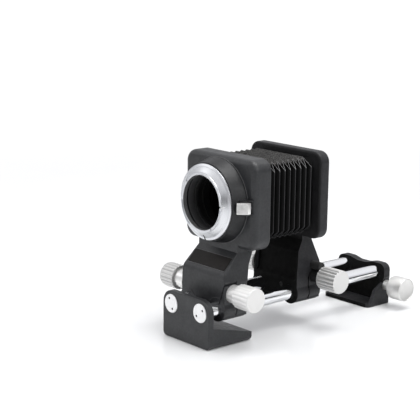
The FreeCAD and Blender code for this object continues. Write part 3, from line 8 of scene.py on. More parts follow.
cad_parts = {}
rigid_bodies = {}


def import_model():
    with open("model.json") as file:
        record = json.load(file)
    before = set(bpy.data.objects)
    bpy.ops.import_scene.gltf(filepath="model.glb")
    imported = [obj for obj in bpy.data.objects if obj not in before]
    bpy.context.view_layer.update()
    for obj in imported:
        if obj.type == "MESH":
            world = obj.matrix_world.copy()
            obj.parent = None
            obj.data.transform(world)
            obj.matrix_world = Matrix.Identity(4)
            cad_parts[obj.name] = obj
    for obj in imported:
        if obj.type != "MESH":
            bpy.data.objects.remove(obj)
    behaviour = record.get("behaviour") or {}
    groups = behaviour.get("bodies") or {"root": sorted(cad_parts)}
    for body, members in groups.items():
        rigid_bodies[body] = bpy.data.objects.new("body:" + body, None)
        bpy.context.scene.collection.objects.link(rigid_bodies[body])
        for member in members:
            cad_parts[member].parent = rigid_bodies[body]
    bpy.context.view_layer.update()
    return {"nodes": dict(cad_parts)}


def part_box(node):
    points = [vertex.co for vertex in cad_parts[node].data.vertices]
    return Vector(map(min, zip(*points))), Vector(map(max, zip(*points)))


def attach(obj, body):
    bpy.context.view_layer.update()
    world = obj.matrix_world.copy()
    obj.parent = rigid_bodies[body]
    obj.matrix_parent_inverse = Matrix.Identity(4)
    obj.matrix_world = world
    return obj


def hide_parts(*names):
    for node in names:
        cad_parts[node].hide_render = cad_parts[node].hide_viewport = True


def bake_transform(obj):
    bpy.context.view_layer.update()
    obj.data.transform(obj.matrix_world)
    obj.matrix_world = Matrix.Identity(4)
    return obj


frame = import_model()
MM = 0.001

# Sizes and radii here are in mm.
AXIS_HEIGHT = 112.0
LENS_AXIS = (0, 0, AXIS_HEIGHT)
ROD_OUT, ROD_HEIGHT = 17.7, 28.5

# Y and Z of each shaft that lies along X
FRONT_DRIVE, FRONT_LOCK = (1.8, 40.625), (0.8, 41.5)
REAR_DRIVE, REAR_LOCK = (91.5, 40.625), (92.1, 41.5)
FOOT_CLAMP = (182.3, 17.6)

# Bellows: its ends along Y, its straight lead and tail, how far its folds stand out, and its cloth
FRONT_END, REAR_END = 25.3, 79.3
LEAD, TAIL = 1.2, 0.4
PLEATS = 9
HALF_WIDTH, HALF_HEIGHT, FOLD = 35.0, 32.0, 7.6
STEP = (REAR_END - FRONT_END - LEAD - TAIL) / PLEATS / 2
MIDDLE = FRONT_END + LEAD + PLEATS * STEP
TUCKED_IN = 0.8
CLOTH_THICKNESS = 0.7

# ---------------------------------------------------------------- bench tools


def clear_bench():
    """Object mode, with nothing selected."""
    if bpy.context.object and bpy.context.object.mode != "OBJECT":
        bpy.ops.object.mode_set(mode="OBJECT")
    bpy.ops.object.select_all(action="DESELECT")


def take(piece):
    clear_bench()
    piece.select_set(True)
    bpy.context.view_layer.objects.active = piece


def set_down(name):
    """Names the primitive just added and puts its place and turn into its mesh."""
    piece = bpy.context.object
    piece.name = name
    piece.data.name = name
    bpy.ops.object.transform_apply(location=True, rotation=True, scale=True)
    return piece


def open_mesh(piece, mode="FACE"):
    take(piece)
    bpy.ops.object.mode_set(mode="EDIT")
    bpy.ops.mesh.select_mode(type=mode)
    bpy.ops.mesh.select_all(action="DESELECT")


def close_mesh():
    bpy.ops.object.mode_set(mode="OBJECT")


def pick_faces(piece, wanted):
    mesh = bmesh.from_edit_mesh(piece.data)
    bpy.ops.mesh.select_mode(type="FACE")
    bpy.ops.mesh.select_all(action="DESELECT")
    for face in mesh.faces:
        if wanted(face.calc_center_median(), face.normal):
            face.select_set(True)
    bmesh.update_edit_mesh(piece.data)


def pick_edges(piece, wanted):
    mesh = bmesh.from_edit_mesh(piece.data)
    bpy.ops.mesh.select_mode(type="EDGE")
    bpy.ops.mesh.select_all(action="DESELECT")
    for edge in mesh.edges:
        if wanted(edge.verts[0].co, edge.verts[1].co):
            edge.select_set(True)
    bmesh.update_edit_mesh(piece.data)


def pick_points(piece, wanted):
    mesh = bmesh.from_edit_mesh(piece.data)
    bpy.ops.mesh.select_all(action="DESELECT")
    for point in mesh.verts:
        if wanted(point.co):
            point.select_set(True)
    mesh.select_flush_mode()
    bmesh.update_edit_mesh(piece.data)


def grow(x, y, z):
    bpy.ops.mesh.extrude_region_move(TRANSFORM_OT_translate={"value": (x * MM, y * MM, z * MM)})


def scale_about(x, y, z, centre):
    bpy.ops.transform.resize(value=(x, y, z), center_override=[c * MM for c in centre])


def tidy_mesh():
    bpy.ops.mesh.select_all(action="SELECT")
    bpy.ops.mesh.remove_doubles(threshold=0.00001)
    bpy.ops.mesh.normals_make_consistent(inside=False)


def smooth(piece, angle=30):
    take(piece)
    bpy.ops.object.shade_smooth_by_angle(angle=radians(angle))


def apply_modifier(piece, kind, **settings):
    take(piece)
    modifier = piece.modifiers.new(kind.title(), kind)
    for key, value in settings.items():
        setattr(modifier, key, value)
    bpy.ops.object.modifier_apply(modifier=modifier.name)


def lathe(name, outline, centre, axis, steps):
    """Extrudes one point along a half outline of (station along axis, radius) and spins it round."""
    def place(station, radius):
        if axis == "X":
            return Vector((station, centre[1], centre[2] + radius)) * MM
        return Vector((centre[0], station, centre[2] + radius)) * MM

    clear_bench()
    here = place(*outline[0])
    bpy.ops.mesh.primitive_plane_add(size=MM, location=here)
    piece = set_down(name)
    open_mesh(piece, "VERT")
    bpy.ops.mesh.select_all(action="SELECT")
    bpy.ops.mesh.merge(type="CENTER")
    for station, radius in outline[1:]:
        there = place(station, radius)
        bpy.ops.mesh.extrude_vertices_move(TRANSFORM_OT_translate={"value": there - here})
        here = there
    bpy.ops.mesh.select_all(action="SELECT")
    line = {"X": (1, 0, 0), "Y": (0, 1, 0)}[axis]
    bpy.ops.mesh.spin(steps=steps, angle=2 * pi, center=[c * MM for c in centre], axis=line)
    tidy_mesh()
    close_mesh()
    return piece


def fit(piece, body, finish, stands_for):
    """Puts a finish on a new piece and fixes it to its CAD body."""
    piece.data.materials.clear()
    piece.data.materials.append(finish)
    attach(piece, body)
    if stands_for:
        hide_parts(*stands_for)


def paint_picked(piece, finish):
    """Gives the picked faces a finish of their own."""
    piece.data.materials.append(finish)
    piece.active_material_index = len(piece.data.materials) - 1
    bpy.ops.object.material_slot_assign()


def cover(node, finish):
    """Puts a finish on a CAD piece."""
    for holder in frame["nodes"][node].material_slots:
        holder.material = finish


# ---------------------------------------------------------------- finishes


class Finish:
    """One material and the nodes that shape it."""

    def __init__(self, name, colour, roughness, metallic=0.0, **sockets):
        self.material = bpy.data.materials.new(name)
        self.material.use_nodes = True
        self.tree = self.material.node_tree
        self.shader = self.tree.nodes["Principled BSDF"]
        self.shader.inputs["Base Color"].default_value = (*colour, 1)
        self.shader.inputs["Roughness"].default_value = roughness
        self.shader.inputs["Metallic"].default_value = metallic
        for key, value in sockets.items():
            self.shader.inputs[key.replace("_", " ")].default_value = value
        self.place = self.add("ShaderNodeTexCoord").outputs["Object"]

    def add(self, kind, **settings):
        node = self.tree.nodes.new(kind)
        for key, value in settings.items():
            if key in node.inputs:
                node.inputs[key].default_value = value
            else:
                setattr(node, key, value)
        return node

    def link(self, source, target):
        self.tree.links.new(source, target)

    def moved(self, location=(0, 0, 0), scale=(1, 1, 1)):
        node = self.add("ShaderNodeMapping", vector_type="POINT")
        node.inputs["Location"].default_value = location
        node.inputs["Scale"].default_value = scale
        self.link(self.place, node.inputs["Vector"])
        return node.outputs["Vector"]

    def axes(self):
        """X, Y and Z of each point, in metres."""
        node = self.add("ShaderNodeSeparateXYZ")
        self.link(self.place, node.inputs[0])
        return node.outputs

    def facing(self):
        """X, Y and Z of the way the surface faces."""
        node = self.add("ShaderNodeSeparateXYZ")
        self.link(self.add("ShaderNodeNewGeometry").outputs["Normal"], node.inputs[0])
        return node.outputs

    def noise(self, scale, detail=2.0, vector=None, roughness=0.5):
        node = self.add("ShaderNodeTexNoise")
        node.inputs["Scale"].default_value = scale
        node.inputs["Detail"].default_value = detail
        node.inputs["Roughness"].default_value = roughness
        self.link(vector or self.place, node.inputs["Vector"])
        return node.outputs["Fac"]

    def cells(self, scale):
        node = self.add("ShaderNodeTexVoronoi")
        node.inputs["Scale"].default_value = scale
        self.link(self.place, node.inputs["Vector"])
        return node.outputs["Distance"]

    def math(self, operation, first, second=None, clamp=False):
        node = self.add("ShaderNodeMath", operation=operation, use_clamp=clamp)
        for socket, value in zip(node.inputs, (first, second)):
            if value is None:
                continue
            if isinstance(value, (int, float)):
                socket.default_value = value
            else:
                self.link(value, socket)
        return node.outputs[0]

    def spread(self, value, low, high, to_low=0.0, to_high=1.0):
        """Maps a value from low..high to to_low..to_high, held at both ends."""
        node = self.add("ShaderNodeMapRange", clamp=True)
        self.link(value, node.inputs["Value"])
        for key, number in (("From Min", low), ("From Max", high), ("To Min", to_low), ("To Max", to_high)):
            node.inputs[key].default_value = number
        return node.outputs["Result"]

    def blend_colours(self, factor, dark, light):
        node = self.add("ShaderNodeMix", data_type="RGBA")
        self.link(factor, node.inputs[0])
        for socket, colour in ((node.inputs[6], dark), (node.inputs[7], light)):
            if isinstance(colour, tuple):
                socket.default_value = (*colour, 1)
            else:
                self.link(colour, socket)
        return node.outputs[2]

    def colour(self, source):
        self.link(source, self.shader.inputs["Base Color"])

    def roughness(self, source):
        self.link(source, self.shader.inputs["Roughness"])

    def relief(self, height, distance, strength, over=None):
        node = self.add("ShaderNodeBump")
        node.inputs["Strength"].default_value = strength
        node.inputs["Distance"].default_value = distance
        self.link(height, node.inputs["Height"])
        if over is not None:
            self.link(over, node.inputs["Normal"])
        self.link(node.outputs["Normal"], self.shader.inputs["Normal"])

    def rounded(self, radius):
        node = self.add("ShaderNodeBevel", samples=6)
        node.inputs["Radius"].default_value = radius
        return node.outputs["Normal"]

    def edges(self, radius, low, high):
        """1 along sharp edges, 0 on flat ground."""
        soft = self.rounded(radius)
        dot = self.add("ShaderNodeVectorMath", operation="DOT_PRODUCT")
        self.link(soft, dot.inputs[0])
        self.link(self.add("ShaderNodeNewGeometry").outputs["Normal"], dot.inputs[1])
        return self.spread(dot.outputs["Value"], 1 - low, 1 - high)

    def axis_distance(self, centre, axis):
        """Distance in metres from a line along an axis through centre."""
        keep = {"X": (0, 1, 1), "Y": (1, 0, 1), "Z": (1, 1, 0)}[axis]
        shift = tuple(-c * MM * k for c, k in zip(centre, keep))
        node = self.add("ShaderNodeVectorMath", operation="LENGTH")
        self.link(self.moved(shift, keep), node.inputs[0])
        return node.outputs["Value"]


def tint(colour, share):
    return tuple(c * share for c in colour)


def stove_enamel(name, colour, level, shade_matt_front=None, shade_matt_top=0.0, shade_matt_frame=1.0):
    """Satin black baked enamel over a die casting: fine mottle and orange peel, soft edges rubbed a little.
    shade_matt_front gives the lean at which faces turned to the front start to be painted near black as shade and made
    dull, and are wholly so, shade_matt_top how far upper faces are painted dark as shade and dulled, shade_matt_frame
    how far front faces above the neck are."""
    neck_top = (0.074, 0.077)
    finish = Finish(name, colour, 0.42, Specular_IOR_Level=level)
    clouds = finish.math("MULTIPLY", finish.noise(90, 4), 0.45)
    specks = finish.math("MULTIPLY", finish.noise(650, 3), 0.55)
    mottle = finish.spread(finish.math("ADD", clouds, specks), 0.38, 0.62)
    ground = finish.blend_colours(mottle, tint(colour, 0.76), tint(colour, 1.26))
    worn = finish.spread(finish.noise(600, 3), 0.35, 0.7)
    rubbed = finish.math("MULTIPLY", finish.edges(0.0005, 0.02, 0.16), worn, True)
    coat = finish.blend_colours(finish.math("MULTIPLY", rubbed, 0.5), ground, (0.11, 0.112, 0.118))
    satin = finish.spread(finish.noise(240, 3), 0.3, 0.7, 0.36, 0.5)
    # Painted shade: faces turned to the front, and upper faces where asked, go near black as well as dull.
    if shade_matt_front:
        facing = finish.facing()
        on_frame = finish.spread(finish.axes()["Z"], *neck_top, 1.0, shade_matt_frame)
        shade_and_dull = finish.math("MULTIPLY", finish.spread(facing["Y"], *shade_matt_front), on_frame)
        shade_and_dull = finish.math("MAXIMUM", shade_and_dull, finish.spread(facing["Z"], 0.8, 0.97, 0.0, shade_matt_top))
        coat = finish.blend_colours(shade_and_dull, coat, (0.0006, 0.0006, 0.0006))
        satin = finish.math("ADD", satin, finish.math("MULTIPLY", shade_and_dull, 0.4), True)
    finish.colour(coat)
    finish.roughness(satin)
    finish.relief(finish.noise(2600, 2), 0.00004, 0.45, finish.rounded(0.00045))
    return finish.material


def turned_metal(name, centre, axis, colour=(0.86, 0.855, 0.84), roughness=0.3, grain=5200, sheen=1.0,
                 tooling=0.35, flutes=None, shade=None):
    """Satin turned aluminium: rings of fine tool grain round the lathe axis. Less sheen is a whiter, etched skin.
    flutes gives the radii of the bottoms and tops of a knob's flutes, and shade the tone painted at the bottoms as
    shade."""
    finish = Finish(name, colour, roughness, metallic=sheen)
    radius = finish.axis_distance(centre, axis)
    rings = finish.add("ShaderNodeCombineXYZ")
    finish.link(radius, rings.inputs[0])
    finish.link(finish.axes()[axis], rings.inputs[1])
    fine = finish.noise(grain, 2, rings.outputs[0])
    skin = finish.blend_colours(finish.spread(finish.noise(160, 3), 0.3, 0.7), tint(colour, 0.95), colour)
    # Painted shade in the bottoms of the flutes on the round side; the end faces are toned a little darker than the
    # sides.
    if flutes:
        end_on = finish.math("ABSOLUTE", finish.facing()[axis])
        round_side = finish.spread(end_on, 0.3, 0.6, 1.0, 0.0)
        low = finish.spread(radius, flutes[0] * MM, flutes[1] * MM, 1.0, 0.0)
        skin = finish.blend_colours(finish.math("MULTIPLY", round_side, low), skin, tint(colour, shade))
        skin = finish.blend_colours(finish.math("SUBTRACT", 1.0, round_side), skin, tint(colour, 0.86))
    finish.colour(skin)
    finish.roughness(finish.spread(fine, 0.25, 0.75, roughness - 0.06, roughness + 0.1))
    finish.relief(fine, 0.00003, tooling, finish.rounded(0.0002))
    return finish.material


def polished_chrome():
    """Ground and chromed rod, with fine marks drawn out along it."""
    finish = Finish("PolishedChrome", (0.90, 0.91, 0.93), 0.06, metallic=1.0)
    along = finish.moved(scale=(1, 0.04, 1))
    wiped = finish.noise(2200, 2, along)
    finish.roughness(finish.spread(wiped, 0.35, 0.8, 0.05, 0.12))
    finish.relief(wiped, 0.000006, 0.2)
    return finish.material


def plain_black(name, colour, roughness, level=0.5):
    finish = Finish(name, colour, roughness, Specular_IOR_Level=level)
    fine = finish.noise(1800, 2)
    finish.roughness(finish.spread(fine, 0.3, 0.7, roughness - 0.06, roughness + 0.08))
    patches = finish.spread(finish.noise(300, 3), 0.3, 0.7)
    finish.colour(finish.blend_colours(patches, tint(colour, 0.8), tint(colour, 1.25)))
    finish.relief(fine, 0.00002, 0.4, finish.rounded(0.0002))
    return finish.material


def bare_metal(name, colour, roughness):
    finish = Finish(name, colour, roughness, metallic=1.0)
    fine = finish.noise(2400, 2)
    finish.roughness(finish.spread(fine, 0.3, 0.7, roughness - 0.05, roughness + 0.1))
    patches = finish.spread(finish.noise(260, 3), 0.3, 0.7)
    finish.colour(finish.blend_colours(patches, tint(colour, 0.86), colour))
    finish.relief(fine, 0.00002, 0.3, finish.rounded(0.0002))
    return finish.material


def leatherette():
    """Black coated bellows cloth: dark smooth pleats painted darker into their hollows as shade, pebbled and dusty on
    top and painted paler there as light from above, rubbed pale along the folds with a painted highlight on the crests
    and pale tips at their corners.
    """
    corner_foot = (0.0235, 0.0246)
    finish = Finish("Leatherette", (0.004, 0.004, 0.0042), 0.55, Specular_IOR_Level=0.07)
    axes = finish.axes()
    across = finish.math("ABSOLUTE", axes["X"])
    above = finish.math("SUBTRACT", axes["Z"], AXIS_HEIGHT * MM)
    side = finish.spread(across, (HALF_WIDTH - FOLD) * MM, HALF_WIDTH * MM)
    rise = finish.spread(finish.math("ABSOLUTE", above), (HALF_HEIGHT - FOLD) * MM, HALF_HEIGHT * MM)
    crest = finish.spread(finish.math("ADD", side, rise), 0.9, 0.96)
    crumple = finish.noise(900, 4, roughness=0.6)
    pebble = finish.cells(1500)

    inward = finish.spread(side, 0.04, 0.2, 1.0, 0.0)
    flat = finish.math("MULTIPLY", finish.math("GREATER_THAN", above, 0.0), inward)
    top = finish.math("MULTIPLY", finish.spread(rise, 0.35, 0.6), flat, True)
    patches = finish.spread(finish.noise(1100, 2), 0.42, 0.6)
    # Rubbed wear and painted highlight along the crests; on top only in patches.
    rub_and_highlight = finish.math("MULTIPLY", crest, finish.math("MAXIMUM", finish.math("SUBTRACT", 1.0, top), patches), True)
    # Pale tips where the crests turn round the corners: rubbed wear and painted highlight.
    turned = finish.math("MULTIPLY", finish.spread(above, *corner_foot), finish.spread(side, 0.02, 0.12))
    corner = finish.math("MULTIPLY", crest, turned, True)
    # Painted light from above on the top folds, with a dusty speckle from the pebble grain.
    dust_and_top_light = finish.math("MULTIPLY", top, finish.spread(pebble, 0.1, 0.5, 1.0, 0.18), True)
    # Painted shade: the side pleats darkest in their hollows, lighter towards the crest.
    slope = finish.math("POWER", finish.spread(side, 0.42, 1.0), 2.0)

    pleat = finish.blend_colours(slope, (0.0004, 0.0004, 0.0004), (0.017, 0.017, 0.0175))
    ground = finish.blend_colours(dust_and_top_light, pleat, (0.25, 0.244, 0.237))
    folded = finish.blend_colours(rub_and_highlight, ground, (0.075, 0.075, 0.078))
    finish.colour(finish.blend_colours(corner, folded, (0.42, 0.42, 0.42)))
    finish.roughness(finish.spread(rub_and_highlight, 0, 1, 0.6, 0.32))
    grain = finish.math("MULTIPLY", finish.math("ADD", pebble, crumple), finish.spread(top, 0, 1, 0.15, 1.0))
    finish.relief(grain, 0.00009, 0.6)
    return finish.material


def baffle_black():
    """Flock lining of the throat: grey at the mouth and painted darker farther in, as shade deep in the throat."""
    finish = Finish("BaffleBlack", (0.02, 0.02, 0.02), 0.65, Specular_IOR_Level=0.3)
    uneven = finish.math("MULTIPLY", finish.noise(160, 2), 0.002)
    # Painted shade: darker with depth into the throat.
    depth = finish.spread(finish.math("ADD", finish.axes()["Y"], uneven), -0.004, 0.005)
    finish.colour(finish.blend_colours(depth, (0.07, 0.07, 0.072), (0.003, 0.003, 0.003)))
    nap = finish.noise(3200, 3)
    finish.roughness(finish.spread(nap, 0.3, 0.7, 0.6, 0.8))
    finish.relief(nap, 0.00005, 0.5)
    return finish.material


def disc_screw(name, x):
    """White satin spanner screw, its two blind holes painted black inside as shade."""
    holes_within = 0.0068
    finish = Finish(name, (0.86, 0.86, 0.86), 0.35, metallic=0.85)
    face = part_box(name)[0].y
    # Painted shade: black down inside the holes, past their mouths.
    deep = finish.spread(finish.axes()["Y"], face + 0.00025, face + 0.0005)
    inside = finish.math("LESS_THAN", finish.axis_distance((x, 0, ROD_HEIGHT), "Y"), holes_within)
    finish.colour(finish.blend_colours(finish.math("MULTIPLY", deep, inside), (0.88, 0.88, 0.88), (0.01, 0.01, 0.01)))
    fine = finish.noise(3000, 2)
    finish.roughness(finish.spread(fine, 0.3, 0.7, 0.3, 0.5))
    finish.relief(fine, 0.00003, 0.4, finish.rounded(0.0002))
    return finish.material


def stepped_collar():
    """Black boss with a bare turned end next to the knob."""
    bare_from = 0.0342
    finish = Finish("SteppedCollar", (0.02, 0.02, 0.021), 0.5, Specular_IOR_Level=0.35)
    bare = finish.math("GREATER_THAN", finish.axes()["X"], bare_from)
    finish.colour(finish.blend_colours(bare, (0.012, 0.012, 0.0125), (0.5, 0.5, 0.49)))
    finish.link(bare, finish.shader.inputs["Metallic"])
    fine = finish.noise(2200, 3)
    finish.roughness(finish.spread(fine, 0.3, 0.7, 0.42, 0.6))
    finish.relief(fine, 0.00004, 0.5, finish.rounded(0.0002))
    return finish.material


ENAMEL = stove_enamel("StoveEnamel", (0.022, 0.023, 0.025), 0.45)
TURRET_ENAMEL = stove_enamel("TurretEnamel", (0.0115, 0.012, 0.0132), 0.33)
# The rear standard and the rear foot carry painted shade on their front faces, and the foot on its upper faces too.
REAR_ENAMEL = stove_enamel("RearEnamel", (0.0225, 0.0225, 0.0245), 0.2, shade_matt_front=(-0.4, -0.65), shade_matt_frame=0.6)
FOOT_ENAMEL = stove_enamel("FootEnamel", (0.023, 0.023, 0.025), 0.2, shade_matt_front=(-0.93, -0.98), shade_matt_top=0.25)
CHROME = polished_chrome()
ANODISED = plain_black("BlackAnodised", (0.03, 0.03, 0.032), 0.42)
FLAT_BLACK = plain_black("FlatBlack", (0.012, 0.012, 0.012), 0.7)
SCREW_BLACK = plain_black("BlackedScrew", (0.03, 0.03, 0.03), 0.35)
BLACK_FILL = plain_black("BlackFill", (0.01, 0.01, 0.01), 0.6)
PLATE_BLACK = plain_black("PlateBlack", (0.007, 0.005, 0.004), 0.5, 0.2)
THROAT_BLACK = plain_black("ThroatBlack", (0.12, 0.12, 0.122), 0.5)
PALE_EDGE_HIGHLIGHT = plain_black("PaleEdgeHighlight", (0.09, 0.09, 0.092), 0.35)
GROOVE_SHADE = plain_black("GrooveShade", (0.55, 0.55, 0.54), 0.5)
STEEL = bare_metal("BrightSteel", (0.78, 0.78, 0.78), 0.22)
SPRING = bare_metal("SpringSteel", (0.10, 0.10, 0.11), 0.35)
BRASS = bare_metal("Brass", (0.72, 0.55, 0.27), 0.3)
KEY_METAL = bare_metal("KeyMetal", (0.82, 0.82, 0.80), 0.34)
RING_METAL = turned_metal("SatinChromeRing", LENS_AXIS, "Y", (0.70, 0.71, 0.73), 0.29, 4200, tooling=0.12)
CLOTH = leatherette()

PLAIN = {
    "front_foot": ENAMEL, "rear_foot": FOOT_ENAMEL, "front_standard": ENAMEL, "rear_standard": REAR_ENAMEL,
    "lens_turret": TURRET_ENAMEL, "tripod_bush": BRASS, "left_rod": CHROME, "right_rod": CHROME, "rack": STEEL,
    "baffle_tube": baffle_black(), "bayonet_spring": SPRING, "turret_screws": SCREW_BLACK,
    "front_bellows_frame": FLAT_BLACK, "rear_bellows_frame": FLAT_BLACK, "release_spring": SPRING,
    "lock_pin": STEEL, "front_pinion_shaft": STEEL, "rear_pinion_shaft": STEEL, "front_lock_stud": STEEL,
    "rear_lock_stud": STEEL, "foot_clamp_stud": STEEL, "gib_screw": FLAT_BLACK, "friction_screw": FLAT_BLACK,
    "turntable": ANODISED, "turntable_retainer": FLAT_BLACK, "camera_mount_screws": STEEL,
    "rear_lock_collar": stepped_collar(), "nameplate": PLATE_BLACK, "release_key": KEY_METAL,
}
for node, finish in PLAIN.items():
    cover(node, finish)

for node, x in (("left_rod_screw", -ROD_OUT), ("right_rod_screw", ROD_OUT)):
    cover(node, disc_screw(node, x))

TURNED = {
    "front_drive_bush": ((0, *FRONT_DRIVE), "X", 0.8), "rear_drive_bush": ((0, *REAR_DRIVE), "X", 0.8),
    "front_lock_collar": ((0, *FRONT_LOCK), "X", 0.4), "camera_bayonet": (LENS_AXIS, "Y", 0.8),
}
for node, (centre, axis, sheen) in TURNED.items():
    cover(node, turned_metal(f"Turned_{node}", centre, axis, sheen=sheen))

# ---------------------------------------------------------------- bellows


def fold_rings():
    """Stations with the half width and half height of the cloth there: side folds and top folds take turns."""
    narrow, low = HALF_WIDTH - FOLD, HALF_HEIGHT - FOLD
    rings = [(FRONT_END - TUCKED_IN, narrow, low)]
    for turn in range(2 * PLEATS + 1):
        station = FRONT_END + LEAD + turn * STEP
        if turn % 2:
            rings.append((station, HALF_WIDTH, low))
        elif 0 < turn < 2 * PLEATS:
            rings.append((station, narrow, HALF_HEIGHT))
        else:
            rings.append((station, narrow, low))
    return rings + [(REAR_END + TUCKED_IN, narrow, low)]


def fold_share(point):
    """How far out on its fold a point lies: 0 in the hollow, 1 on the crest and on the folds round the corners."""
    side = abs(point.x) / MM - (HALF_WIDTH - FOLD)
    rise = abs(point.z / MM - AXIS_HEIGHT) - (HALF_HEIGHT - FOLD)
    return (max(side, 0) + max(rise, 0)) / FOLD


def pleated_tube(name):
    """Grows a square of edges along Y ring by ring, softens its crests and gives it the cloth's thickness."""
    rings = fold_rings()
    start, width, height = rings[0]
    clear_bench()
    bpy.ops.mesh.primitive_plane_add(size=MM, location=(0, start * MM, AXIS_HEIGHT * MM), rotation=(pi / 2, 0, 0))
    bpy.context.object.scale = (2 * width, 2 * height, 1)
    cloth = set_down(name)
    open_mesh(cloth, "EDGE")
    bpy.ops.mesh.select_all(action="SELECT")
    bpy.ops.mesh.delete(type="ONLY_FACE")
    bpy.ops.mesh.select_all(action="SELECT")
    for (before, w0, h0), (after, w1, h1) in zip(rings, rings[1:]):
        grow(0, after - before, 0)
        scale_about(w1 / w0, 1, h1 / h0, (0, after, AXIS_HEIGHT))

    pick_edges(cloth, lambda a, b: fold_share(a) > 0.99 and fold_share(b) > 0.99)
    bpy.ops.mesh.bevel(offset=0.4 * MM, segments=2, affect="EDGES")
    tidy_mesh()
    close_mesh()
    apply_modifier(cloth, "SOLIDIFY", thickness=CLOTH_THICKNESS * MM, offset=-1, use_even_offset=False)
    return cloth


def keep_half(cloth, direction):
    """Cuts the tube across at its middle fold and closes the cut."""
    open_mesh(cloth, "FACE")
    bpy.ops.mesh.select_all(action="SELECT")
    bpy.ops.mesh.bisect(plane_co=(0, MIDDLE * MM, 0), plane_no=(0, direction, 0), clear_outer=True, threshold=0.000001)
    bpy.ops.mesh.select_all(action="DESELECT")
    bpy.ops.mesh.select_mode(type="EDGE")
    bpy.ops.mesh.select_non_manifold()
    bpy.ops.mesh.bridge_edge_loops()
    close_mesh()


BELLOWS_ENDS = (("bellows_front", 1, "front_carriage", FRONT_END), ("bellows_rear", -1, "rear_carriage", REAR_END))
for name, direction, carriage, end in BELLOWS_ENDS:
    half = pleated_tube(name)
    keep_half(half, direction)
    smooth(half, 24)
    half.data.materials.append(CLOTH)
    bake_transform(half)
    if direction > 0:
        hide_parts("bellows")

# ---------------------------------------------------------------- knobs

KNOB_EDGE, KNOB_DISH = 0.45, 0.12


def fluted_knob(node, body, centre, flutes, depth, profile, finish):
    """A turned knob along X: flutes pressed in round it, a crowned chamfer and a shallow dish in its face.
    profile tells how deep each point round one flute lies."""
    low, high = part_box(node)
    near, far = (low.x / MM, high.x / MM) if low.x > 0 else (high.x / MM, low.x / MM)
    out = 1 if far > near else -1
    start, shoulder = near + out * KNOB_EDGE, far - out * KNOB_EDGE
    radius = (high.z - low.z) / MM / 2
    across, height = centre
    points = len(profile)
    clear_bench()
    bpy.ops.mesh.primitive_circle_add(
        vertices=flutes * points, radius=radius * MM, rotation=(0, pi / 2, 0),
        location=(start * MM, across * MM, height * MM))
    knob = set_down(node.replace("knob", "grip"))

    def phase(point):
        turn = atan2(point.z / MM - height, point.y / MM - across) / (2 * pi) * flutes * points
        return round(turn) % points

    def pick_ring(station, group=None):
        pick_points(knob, lambda point: abs(point.x / MM - station) < 0.01 and group in (None, phase(point)))

    def size_group(station, group, ratio):
        pick_ring(station, group)
        scale_about(1, ratio, ratio, (station, across, height))

    def close_end(station, face, dish):
        """Chamfer, rim, dish and centre of one end."""
        pick_ring(station)
        grow(face - station, 0, 0)
        for group, share in enumerate(profile):
            size_group(face, group, (radius - KNOB_EDGE) / (radius - depth * share))
        pick_ring(face)
        grow(0, 0, 0)
        scale_about(1, 0.93, 0.93, (face, across, height))
        if dish:
            grow(-out * dish, 0, 0)
            scale_about(1, 0.97, 0.97, (face - out * dish, across, height))
        bpy.ops.mesh.edge_face_add()

    open_mesh(knob, "VERT")
    for group, share in enumerate(profile):
        size_group(start, group, (radius - depth * share) / radius)
    pick_ring(start)
    grow(far - near - 2 * out * KNOB_EDGE, 0, 0)
    close_end(shoulder, far, KNOB_DISH)
    close_end(start, near, 0)
    tidy_mesh()
    close_mesh()
    apply_modifier(knob, "BEVEL", width=0.14 * MM, segments=2, limit_method="ANGLE", angle_limit=radians(24))
    smooth(knob, 40)
    fit(knob, body, finish, (node,))


# Body, shaft, flutes, their depth, the profile round one, then tone, sheen and the tone painted in the flutes as shade
KNOBS = {
    "front_drive_knob": ("front_drive", FRONT_DRIVE, 20, 0.7, (1, 0.5, 0.05, 0, 0.05, 0.5), 0.70, 0.7, 0.65),
    "front_lock_knob": ("front_lock", FRONT_LOCK, 18, 0.5, (1, 0.5, 0.1, 0, 0.1, 0.5), 0.91, 0.3, 0.88),
    "rear_drive_knob": ("rear_drive", REAR_DRIVE, 20, 0.6, (1, 0.5, 0.05, 0, 0.05, 0.5), 0.8, 0.6, 0.7),
    "rear_lock_knob": ("rear_lock", REAR_LOCK, 20, 1.0, (1, 0.75, 0.25, 0, 0.25, 0.75), 0.86, 0.6, 0.6),
}
for node, (body, centre, flutes, depth, profile, tone, sheen, shade) in KNOBS.items():
    low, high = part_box(node)
    rim = (high.z - low.z) / MM / 2
    metal = turned_metal(
        f"Turned_{node}", (0, *centre), "X", (tone, tone * 0.995, tone * 0.98), 0.42, sheen=sheen, tooling=0.2,
        flutes=(rim - depth, rim - 0.25 * depth), shade=shade)
    fluted_knob(node, body, centre, flutes, depth, profile, metal)

CLAMP_OUTLINE = [
    (26.55, 2.6), (26.55, 4.3), (26.85, 4.6), (31.0, 4.6), (31.2, 4.9), (35.6, 9.6), (36.3, 10.05), (37.0, 10.2),
    (49.9, 10.2), (50.35, 10.05), (50.58, 9.75), (50.6, 9.5), (50.5, 9.3), (50.0, 9.1), (49.9, 8.9), (50.05, 0.02),
]
clamp = lathe("foot_clamp_grip", CLAMP_OUTLINE, (0, *FOOT_CLAMP), "X", 72)
smooth(clamp, 35)
clamp_metal = turned_metal("Turned_foot_clamp", (0, *FOOT_CLAMP), "X", (0.74, 0.735, 0.72), 0.4, sheen=0.8)
fit(clamp, "foot_clamp", clamp_metal, ("foot_clamp_knob",))

# ---------------------------------------------------------------- lens mount

RING_LIP, RING_FACE = (corner.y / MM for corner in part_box("bayonet_ring"))

# Turns round the lens axis, as on a clock, where the bayonet's lip is cut away, and where the index line is
LIP_GAPS = ((309, 8), (96, 150), (214, 268))
INDEX_TURN = 178.5


